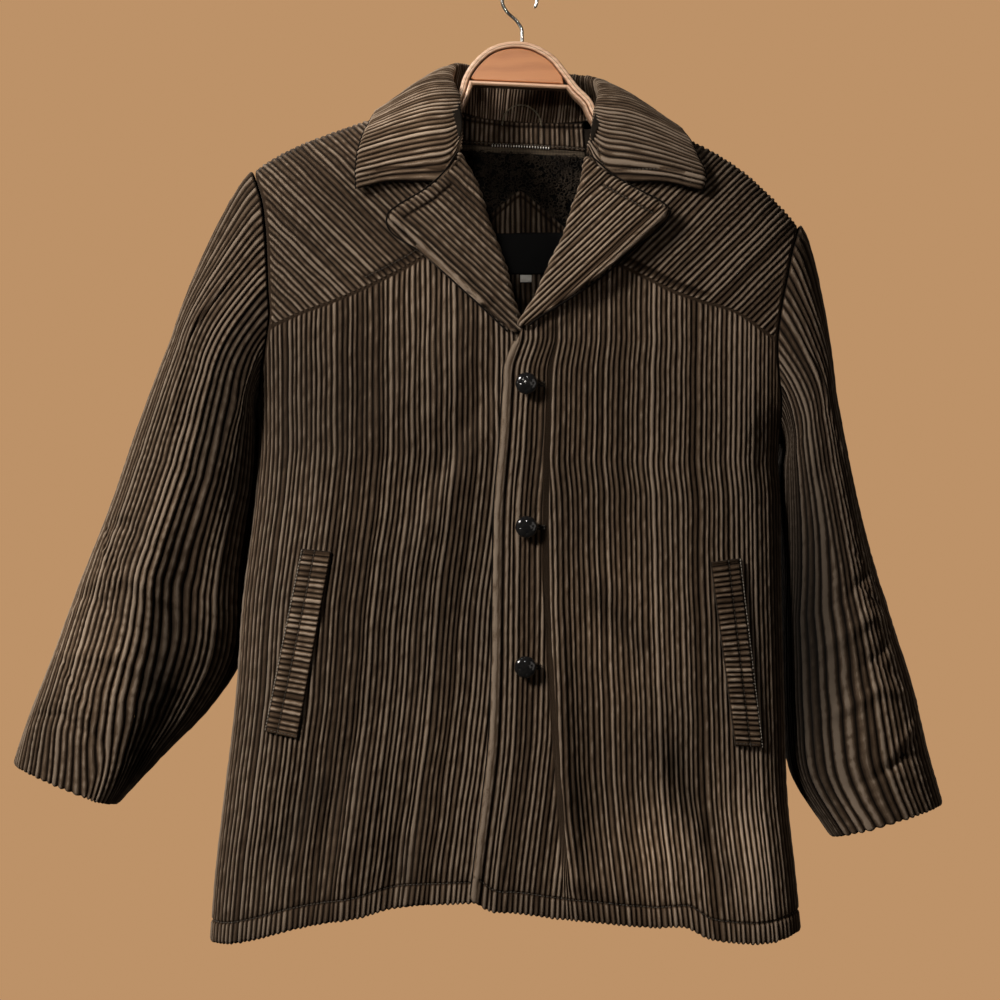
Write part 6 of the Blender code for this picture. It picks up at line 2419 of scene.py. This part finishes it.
@dataclass
class Neck(Garment):
    """What the open neck shows inside the back: band, zip, pile lining, facing and labels."""

    band_depth: float = 20.0
    tape_depth: float = 27.0
    pile_foot: float = -238.0
    tooth_pitch: float = 2.5
    curls: int = 950
    loop_thickness: float = 1.8

    def band_foot(self, x: Array) -> Array:
        """The height of the band's lower edge."""
        return smooth(NECKLINE, x) - 1 - self.band_depth

    def tape_foot(self, x: Array) -> Array:
        """The height of the zip tape's lower edge."""
        return smooth(NECKLINE, x) - self.tape_depth

    def build(self) -> None:
        """Builds every piece inside the neck."""
        self.build_band()
        self.build_facing()
        self.build_sheets()
        self.build_teeth()
        self.build_pile()
        self.build_loop()

    def build_band(self) -> None:
        """The band of short wales below the neck seam."""
        surface = inner_back_panel(
            -57, 62, lambda x: straight(STAND_SEAM, x) + 0.5, self.band_foot, 4.6
        )
        panel = Panel(
            "neck_band", surface, 119.0, 20.0, FORWARD, rise=0.9, shell=1.6, step=2.5, seed=71,
            stitches=(StitchLine(Side.HEAD, 4.0), StitchLine(Side.FOOT, 2.5)), nap_and_painted_light=0.75,
        )
        self.lay(panel, Cut(120.0, 27.0, 0.95, ("collar",)))

    def build_facing(self) -> None:
        """The pointed facing below the pile, with wales that run down."""
        surface = inner_back_panel(
            -46, 58, lambda x: -183 - 0.86 * np.hypot(x - 0.5, 3.0), at_height(-350.0), 9.6
        )
        panel = Panel(
            "back_facing", surface, 104.0, 165.0, FORWARD, rise=1.0, shell=1.6, seed=72, nap_and_painted_light=0.55,
            stitches=(StitchLine(Side.HEAD, 4.5),),
        )
        self.lay(panel, Cut(108.0, 175.0, 0.85, ("back",)))

    def build_sheets(self) -> None:
        """The zip's tape, the bare label and the bare size tab."""
        for name, left, right, top, foot, inset, wall, slot, length, share, hangs in (
            ("zip_tape", -57, 62, lambda x: self.band_foot(x) - SEAM_GAP, self.tape_foot,
             4.2, 1.2, "tape", 11.0, 0.62, "neck_band"),
            ("label", -32, 50, lambda x: -225.0 + 0.02 * x, at_height(-263.5),
             11.8, 0.8, "label", 38.0, 0.9, "back_facing"),
            ("size_tab", 1.5, 11.5, at_height(-263.9), at_height(-270.5),
             11.6, 0.6, "tab", 10.0, 0.72, "back_facing"),
        ):
            surface = inner_back_panel(left, right, top, foot, inset)
            piece = self.plain_sheet(name, surface, wall, getattr(self.finishes, slot))
            place_piece(piece, [name], (right - left + 2.0, length), (hangs,), share)

    def plain_sheet(self, name: str, surface: Lay, wall: float, finish: Material) -> Piece:
        """A thin closed sheet with a slight roll at its edges and soft cockling.

        Args:
            name: the piece's name.
            surface: its form.
            wall: its thickness.
            finish: its material.

        Returns:
            The sheet's object.
        """
        m, n = 49, 25
        u, v = np.meshgrid(np.linspace(0, 1, m), np.linspace(0, 1, n), indexing="ij")
        base = surface(u, v)
        normal = unit(np.cross(np.gradient(base, axis=0), np.gradient(base, axis=1)))
        if normal[m // 2, n // 2, 1] > 0:
            normal = -normal
        edge = np.minimum(np.minimum(u, 1 - u) * m, np.minimum(v, 1 - v) * n) / 2.5
        rounded = np.sqrt(1 - (1 - edge.clip(0, 1)) ** 2) - 1
        outer = base + normal * (0.25 * ripple(u * 2.5, v * 1.5, 74) + 0.35 * rounded)[..., None]
        return closed_sheet(name, outer, base - normal * wall, finish)

    def build_teeth(self) -> None:
        """The zip's white teeth, each a rounded peg across the tape's top edge."""
        across = np.arange(-25.0, 29.0, self.tooth_pitch)
        spot = inner_back(across, self.band_foot(across) + 0.4, 6.1)
        blocks, faces = [], []
        ring = np.array([
            (-1, -0.6), (-0.6, -1), (0.6, -1), (1, -0.6), (1, 0.6), (0.6, 1), (-0.6, 1), (-1, 0.6)
        ])
        for k, place in enumerate(spot):
            for depth, size in ((0.0, 1.0), (-1.0, 1.0), (-1.5, 0.55)):
                outline = ring * (0.46 * size, size)
                blocks.append(place + np.insert(outline, 1, depth, axis=1))
            faces += closed_rings(3, len(ring), k * 3 * len(ring))
        piece = make_object("zip_teeth", np.concatenate(blocks), faces, (self.finishes.teeth,))
        place_piece(make_outward(piece))

    def build_pile(self) -> None:
        """The curly pile lining: a sheet with many small curls of yarn on it."""
        surface = inner_back_panel(
            -60, 66, lambda x: self.tape_foot(x) - SEAM_GAP, at_height(self.pile_foot), 5.2
        )
        sheet = self.plain_sheet("pile_lining", surface, 2.6, self.finishes.ground)
        place_piece(sheet, ["pile_lining"], (114.0, 92.0), ("zip_tape",), 0.93)
        draw = np.random.default_rng(75)
        u, v = draw.uniform(0.02, 0.98, self.curls), draw.uniform(0.0, 0.72, self.curls)
        turns = np.linspace(0, 1, 9)
        blocks = []
        for spot in surface(u, v):
            radius, tube = draw.uniform(1.2, 2.5), draw.uniform(0.4, 0.65)
            start, lean = draw.uniform(0, 2 * math.pi), draw.uniform(-0.9, 0.9)
            angle = start + turns * draw.uniform(3.8, 6.4)
            depth = -0.7 - 1.8 * np.sin(turns * math.pi) - lean * np.sin(angle)
            curl = np.column_stack([radius * np.cos(angle), depth, radius * np.sin(angle) + lean])
            blocks.append((curl + spot, tube * (1 - 0.6 * np.abs(2 * turns - 1) ** 3)))
        place_piece(tubes("pile_curls", blocks, 4, self.finishes.pile))

    def build_loop(self) -> None:
        """The thin cord that the coat can be hung by."""
        path = curve_points(LOOP, 48)
        length = np.linspace(0, 1, len(path))
        strands = []
        for k in range(2):
            turn = length * 2 * math.pi * 13 + k * math.pi
            away = np.column_stack([np.cos(turn), np.sin(turn), 0 * turn]) * 0.4
            strands.append((path + away, np.full(len(path), 0.48)))
        loop = tubes("hanging_loop", strands, 8, self.finishes.cord)
        place_piece(loop, ["hanging_loop"])
        run = float(run_along(path)[-1])


def at_height(height: float) -> Callable:
    """The same height at every place across."""
    return lambda x: np.full(x.shape, height)


def curve_points(points: Rows, count: int) -> Array:
    """A smooth curve through a few points, at evenly keyed places."""
    grid = np.array(points, dtype=float)
    keys = run_along(grid)
    keyed = np.column_stack([keys, grid])
    at = np.linspace(0, keys[-1], count + 1)
    return np.column_stack([smooth(keyed, at, column) for column in range(1, grid.shape[1] + 1)])


def tubes(
    name: str, paths: Sequence[tuple[Array, Array]], sides: int, finish: Material
) -> Piece:
    """Round tubes along paths, closed at both ends, as one piece.

    Args:
        name: the piece's name.
        paths: the points of each tube and its radius at each.
        sides: how many sides a tube has.
        finish: its material.

    Returns:
        The piece.
    """
    turns = np.arange(sides) * 2 * math.pi / sides
    blocks, faces, at = [], [], 0
    for path, radius in paths:
        along = unit(np.gradient(path, axis=0))
        across = np.empty(path.shape)
        last = np.cross(along[0], (0.31, 0.87, 0.38))
        for k, direction in enumerate(along):
            last = unit(last - direction * (last @ direction))
            across[k] = last
        up = np.cross(along, across)
        ring = across[:, None] * np.cos(turns)[:, None] + up[:, None] * np.sin(turns)[:, None]
        blocks.append((path[:, None] + ring * radius[:, None, None]).reshape(-1, 3))
        faces += closed_rings(len(path), sides, at)
        at += len(path) * sides
    return make_object(name, np.concatenate(blocks), faces, (finish,))


@dataclass
class Buttons(Garment):
    """Three woven leather buttons, each with its buttonhole."""

    width: float = BUTTON_WIDTH
    height: float = BUTTON_HEIGHT
    strap: float = 8.0
    turn: float = 52.0
    rings: int = 44
    spokes: int = 96
    hole_half: float = 7.4
    slit: float = 0.9

    def build(self) -> None:
        """Builds each button and its buttonhole."""
        for k, (x, z) in enumerate(BUTTON_PLACES, 1):
            at = np.array(x), np.array(z)
            front = float(body_depth(FRONT, turn_at(*at), *at) + overlap_lift(*at))
            middle = -(front + RIB_RISE + BUTTON_SHANK + self.height / 2)
            piece = self.button(f"button_{k}", np.array([x, middle, z]), self.turn + 7 * (k - 2))
            place_piece(piece, [f"button_{k}"])
            self.buttonhole(f"buttonhole_{k}", x + 9.0, z - 0.5)

    def straps(self, a: Array, b: Array) -> Array:
        """The height of the woven straps over the button's dome.

        Args:
            a: the place across the turned button, in millimetres.
            b: the place up it.

        Returns:
            The height at each place.
        """
        def over(first: Array, second: Array, shift: int) -> Array:
            """Straps along the second direction, each above or below its neighbours."""
            lane = np.round(first / self.strap)
            off = np.abs(first / self.strap - lane) * 2
            round_top = (1 - off**4.0).clip(0) ** 0.6
            wave = np.cos(second / self.strap * math.pi + (lane + shift) * math.pi)
            return round_top * (1.2 + 0.42 * wave) - 0.7 * (off > 0.93)

        return np.maximum(over(a, b, 0), over(b, a, 1))

    def button(self, name: str, centre: Array, turn: float) -> Piece:
        """One button, a dome of woven straps over a turned-under rim.

        Args:
            name: the piece's name.
            centre: its middle.
            turn: the straps' slant in degrees.

        Returns:
            The button.
        """
        tilt = np.linspace(0.0, math.pi, self.rings)
        spin = np.arange(self.spokes) * 2 * math.pi / self.spokes
        tilt, spin = np.meshgrid(tilt, spin, indexing="ij")
        reach = np.sin(tilt) ** 0.85 * (self.width / 2 - 0.5)
        depth = np.cos(tilt)
        x, z = reach * np.cos(spin), reach * np.sin(spin)
        y = -np.sign(depth) * np.abs(depth) ** 0.9 * (self.height / 2 - 0.7)
        slant = math.radians(turn)
        a = x * math.cos(slant) + z * math.sin(slant)
        b = -x * math.sin(slant) + z * math.cos(slant)
        relief = (self.straps(a, b) - 0.75) * 0.55
        relief *= np.where(depth > -0.1, 1.0, 0.3)
        wide, high = (self.width / 2) ** 2, (self.height / 2) ** 2
        out = unit(np.stack([x / wide, y / high, z / wide], -1))
        points = np.stack([x, y, z], -1) + out * relief[..., None] + centre
        points[0] = points[0].mean(axis=0)
        points[-1] = points[-1].mean(axis=0)
        inner = points[1:-1].reshape(-1, 3)
        faces = ring_faces(self.rings - 2, self.spokes)
        top, foot = len(inner), len(inner) + 1
        faces += [(top, (k + 1) % self.spokes, k) for k in range(self.spokes)]
        last = len(inner) - self.spokes
        faces += [(foot, last + k, last + (k + 1) % self.spokes) for k in range(self.spokes)]
        every = np.concatenate([inner, points[0, :1], points[-1, :1]])
        return make_outward(make_object(name, every, faces, (self.finishes.leather,)))

    def buttonhole(self, name: str, x: float, z: float) -> None:
        """A keyhole buttonhole: a slit between two close rows of purl stitches, with a dark sheet
        in it as painted shade.

        Args:
            name: the piece's name.
            x: the place across of its middle.
            z: its height.
        """
        half, slit = self.hole_half, self.slit
        share, thick = np.linspace(0, 1, 4), np.array([0.3, 0.42, 0.42, 0.3])
        blocks = []
        for side in (-1, 1):
            for at in np.linspace(-half, half, 30):
                px = x + at + 0 * share
                pz = z + side * (slit * 0.5 + share * 1.7)
                lift = overlap_lift(px, pz) + RIB_RISE * 0.75 + 0.35 * np.sin(share * math.pi)
                blocks.append((on_body(FRONT, px, pz, lift), thick))
        place_piece(tubes(name, blocks, 5, self.finishes.twist))
        # a dark sheet fills the slit as painted shade of the opening
        u, v = np.meshgrid(np.linspace(-1, 1, 25), np.linspace(-1, 1, 5), indexing="ij")
        px, pz = x + u * half, z + v * slit * np.sqrt(1 - 0.9 * u**2)
        front = on_body(FRONT, px, pz, overlap_lift(px, pz) + RIB_RISE * 0.55)
        rear = on_body(FRONT, px, pz, overlap_lift(px, pz) - 1.0)
        place_piece(closed_sheet(f"{name}_slit", front, rear, self.finishes.slit_shade))


# ---------------------------------------------------------------- the hanger


@dataclass
class Hanger:
    """The flat laminated hanger with its panel and wire hook."""

    finishes: Finishes
    depth: float = HANGER_DEPTH
    round: float = 1.5

    def rim_line(self) -> Array:
        """The hanger's top edge: an arm under each shoulder and the arch between them."""
        right, left = np.linspace(-ARM_REACH, -92, 9), np.linspace(104, ARM_REACH + 8, 9)
        arms = [np.column_stack([x, smooth(RIDGE, x) - ARM_DROP]) for x in (right, left)]
        return curve_points(np.concatenate([arms[0], RIM_NECK, arms[1]]), 220)

    @staticmethod
    def offset_line(line: Array, distance: float) -> Array:
        """A line moved down, at right angles to its own run."""
        return line + beside(line) * distance

    def lath(
        self, name: str, top: Array, height: float, layers: Sequence[tuple[float, int]],
        finishes: Sequence[Material],
    ) -> Piece:
        """A bent lath with rounded edges, made of glued layers.

        Args:
            name: the piece's name.
            top: the line of its top face, across and up.
            height: its height.
            layers: the share of the height where each layer ends, and its material's number.
            finishes: the materials.

        Returns:
            The lath.
        """
        rounded = self.round * (1 - np.cos(np.linspace(0, math.pi / 2, 5)))
        ends = [share * height for share, _ in layers] + [0.0, height]
        levels = np.unique(np.concatenate([ends, rounded, height - rounded]))
        inset = np.zeros(levels.shape)
        for distance in (levels, height - levels):
            near = np.clip(1 - distance / self.round, 0, 1)
            inset = np.maximum(inset, self.round * (1 - np.sqrt(1 - near**2)))
        half = self.depth / 2 - inset
        down = beside(top)
        profile = list(zip(-half, levels)) + list(zip(half, levels))[::-1]
        blocks = [np.insert(top + down * level, 1, y, axis=1) for y, level in profile]
        count, m = len(profile), len(top)
        faces, slots = [], []
        for k in range(count):
            follow = (k + 1) % count
            middle = (profile[k][1] + profile[follow][1]) / 2 / height
            slot = next(number for share, number in layers if middle <= share + 1e-6)
            for i in range(m - 1):
                faces.append((k * m + i, k * m + i + 1, follow * m + i + 1, follow * m + i))
                slots.append(slot)
        faces.append([k * m for k in range(count)])
        faces.append([k * m + m - 1 for k in range(count)][::-1])
        slots += [layers[0][1], layers[0][1]]
        piece = make_object(name, np.concatenate(blocks), faces, finishes, np.array(slots))
        return make_outward(piece)

    def build(self) -> None:
        """Builds the rim, the bar, the panel and the hook."""
        top = self.rim_line()
        maple, glue, under = self.finishes.maple, self.finishes.glue, self.finishes.under
        layers = (0.50, 0), (0.58, 1), (1.0, 0)
        rim = self.lath("hanger_rim", top, RIM_HEIGHT, layers, (maple, glue))
        place_piece(rim, ["hanger_rim"])
        bar_top = self.offset_line(top, RIM_HEIGHT + 3 * SEAM_GAP)
        (ax, az), (bx, bz) = BAR_ENDS
        right = bar_top[(bar_top[:, 0] < ax - 3) & (bar_top[:, 1] < az)]
        left = bar_top[(bar_top[:, 0] > bx + 3) & (bar_top[:, 1] < bz)]
        middle = np.column_stack([np.linspace(ax, bx, 30), np.linspace(az, bz, 30)])
        line = np.concatenate([right[::2], middle, left[::2]])
        # the bar's lower half takes the darker maple copy as painted shade
        bar = self.lath("hanger_bar", line, BAR_HEIGHT, ((0.5, 0), (1.0, 1)), (maple, under))
        place_piece(bar, ["hanger_bar"])
        self.build_panel(bar_top)
        self.build_hook(float(np.interp(STEM_ACROSS, top[:, 0], top[:, 1])))

    def build_panel(self, bar_top: Array) -> None:
        """The panel between the arch and the bar, with eased edges."""
        start, end = BAR_ENDS
        arch = bar_top[(bar_top[:, 1] > start[1] + 1.5) & (bar_top[:, 0] < end[0])][::2]
        base = np.linspace((end[0] - 4, end[1] + 1.2), (start[0] + 5, start[1] + 0.9), 24)
        loop = np.concatenate([arch, base])
        run = unit(np.roll(loop, -1, axis=0) - np.roll(loop, 1, axis=0))
        inward = np.column_stack([run[:, 1], -run[:, 0]])
        front = -PANEL_DEPTH / 2
        levels = (0.0, front + 1.0), (0.35, front + 0.3), (1.0, front)
        rings = list(levels[::-1]) + [(inset, -y) for inset, y in levels]
        blocks = [np.insert(loop + inward * inset, 1, y, axis=1) for inset, y in rings]
        faces = [face[::-1] for face in closed_rings(len(rings), len(loop))]
        panel = make_object("hanger_panel", np.concatenate(blocks), faces, (self.finishes.panel,))
        for face in list(panel.data.polygons)[-2:]:
            face.use_smooth = False
        place_piece(make_outward(panel), ["hanger_panel"])

    def build_hook(self, crown: float) -> None:
        """The wire hook, whose inner top is at the origin.

        Args:
            crown: the height of the hanger's top where the wire enters it.
        """
        centre = WIRE / 2 - HOOK_RADIUS
        stem = [
            (STEM_ACROSS, 0, crown + SEAM_GAP), (STEM_ACROSS, 0, STEM_TOP - 14),
            (STEM_ACROSS, 0, STEM_TOP - 4), (STEM_ACROSS - 0.4, 0, STEM_TOP + 2.5),
            (-2.0, 0, STEM_TOP + 9.0),
        ]
        for angle in np.radians(range(222, -31, -18)):
            out, up = HOOK_RADIUS * math.cos(angle), HOOK_RADIUS * math.sin(angle)
            stem.append((out, 0, centre + up))
        path = curve_points(stem, 150)
        radius = np.full(len(path), WIRE / 2)
        radius[-4:] = WIRE / 2 * np.array([0.97, 0.85, 0.6, 0.2])
        hook = tubes("hanger_hook", [(path, radius)], 20, self.finishes.chrome)
        place_piece(hook, ["hanger_hook"])


# ---------------------------------------------------------------- the room


@dataclass
class Studio:
    """The plain backdrop, the floor, the lights and the camera."""

    colour: Vector = (0.508, 0.287, 0.138)
    centre: Vector = (-0.018, -0.05, -0.4752)
    distance: float = 2.15
    view_width: float = 0.9
    floor: float = -1.35

    def build(self) -> None:
        """Sets up the room round the coat."""
        self.build_backdrop()
        self.build_lights()
        self.build_camera()

    def glow(self) -> Material:
        """The flat backdrop colour."""
        w = Wiring("backdrop")
        w.shade(Base_Color=(0.0, 0.0, 0.0, 1.0), Roughness=1.0, Specular_IOR_Level=0.0)
        w.shade(Emission_Color=(*self.colour, 1.0), Emission_Strength=1.0)
        return w.material

    def build_backdrop(self) -> None:
        """A dome and a floor in one plain colour."""
        finish = self.glow()
        bpy.ops.object.select_all(action="DESELECT")
        place = (0, 0, self.floor)
        for name, add, settings in (
            ("backdrop", bpy.ops.mesh.primitive_uv_sphere_add,
             {"segments": 48, "ring_count": 24, "radius": 7.0}),
            ("floor", bpy.ops.mesh.primitive_circle_add,
             {"vertices": 64, "radius": 6.5, "fill_type": "NGON"}),
        ):
            add(location=place, **settings)
            piece = bpy.context.object
            piece.name = name
            bpy.ops.object.transform_apply(location=True, rotation=False, scale=False)
            piece.data.materials.append(finish)
            piece.visible_diffuse = False
            piece.visible_glossy = False
            piece.visible_shadow = False
            piece.visible_transmission = False

    def build_lights(self) -> None:
        """A soft key from the upper left front, a weak fill and a low sky."""
        for name, place, size, power, tint in (
            ("key", (-1.9, -1.75, 1.0), (0.6, 0.6), 100.0, (1.0, 0.95, 0.88)),
            ("fill", (1.9, -2.3, -0.3), (1.6, 1.6), 5.0, (1.0, 0.92, 0.84)),
            ("rim", (-1.0, 2.0, 0.8), (0.9, 0.9), 22.0, (1.0, 0.97, 0.94)),
        ):
            lamp = bpy.data.lights.new(name, "AREA")
            lamp.shape = "RECTANGLE"
            lamp.size, lamp.size_y = size
            lamp.energy, lamp.color = power, tint
            aim = np.array(self.centre) - np.array(place)
            tilt = math.acos(-aim[2] / np.linalg.norm(aim))
            self.hold(lamp, place, (tilt, 0.0, math.atan2(-aim[0], aim[1])))
        lamp = bpy.data.lights.new("neck", "SPOT")
        lamp.energy, lamp.spot_size, lamp.spot_blend = 75.0, math.radians(9.0), 1.0
        lamp.shadow_soft_size, lamp.color = 0.12, (1.0, 0.94, 0.86)
        place, target = Vec((-0.35, -2.3, 0.25)), Vec((-0.01, 0.0, -0.2))
        self.hold(lamp, place, (target - place).to_track_quat("-Z", "Y").to_euler())
        world = bpy.data.worlds.new("room")
        world.use_nodes = True
        sky = world.node_tree.nodes["Background"].inputs
        sky[0].default_value = (0.9, 0.82, 0.74, 1.0)
        sky[1].default_value = 0.035
        bpy.context.scene.world = world

    @staticmethod
    def hold(data: bpy.types.ID, place: Vector, turn: Vector) -> Piece:
        """Puts a lamp or the camera at a place, turned by three angles."""
        holder = bpy.data.objects.new(data.name, data)
        bpy.context.scene.collection.objects.link(holder)
        holder.location = place
        holder.rotation_euler = turn
        return holder

    def build_camera(self) -> None:
        """The camera, level with the coat's middle."""
        lens = bpy.data.cameras.new("camera")
        lens.sensor_width = 36.0
        lens.lens = lens.sensor_width * self.distance / self.view_width
        lens.clip_end = 30.0
        place = (self.centre[0], self.centre[1] - self.distance, self.centre[2])
        bpy.context.scene.camera = self.hold(lens, place, (math.pi / 2, 0.0, 0.0))
        bpy.context.scene.view_settings.view_transform = "Standard"


def main() -> None:
    """Builds the coat, its hanger and the room."""
    logging.basicConfig(level=logging.INFO, format="%(name)s %(message)s")
    bpy.ops.object.select_all(action="DESELECT")
    finishes = Finishes()
    for part in (Body, Yokes, Lapels, Sleeves, Seams, Collar, Pockets, Neck, Buttons, Hanger):
        part(finishes).build()
    Studio().build()
    bpy.context.view_layer.update()


if __name__ == "__main__":
    main()
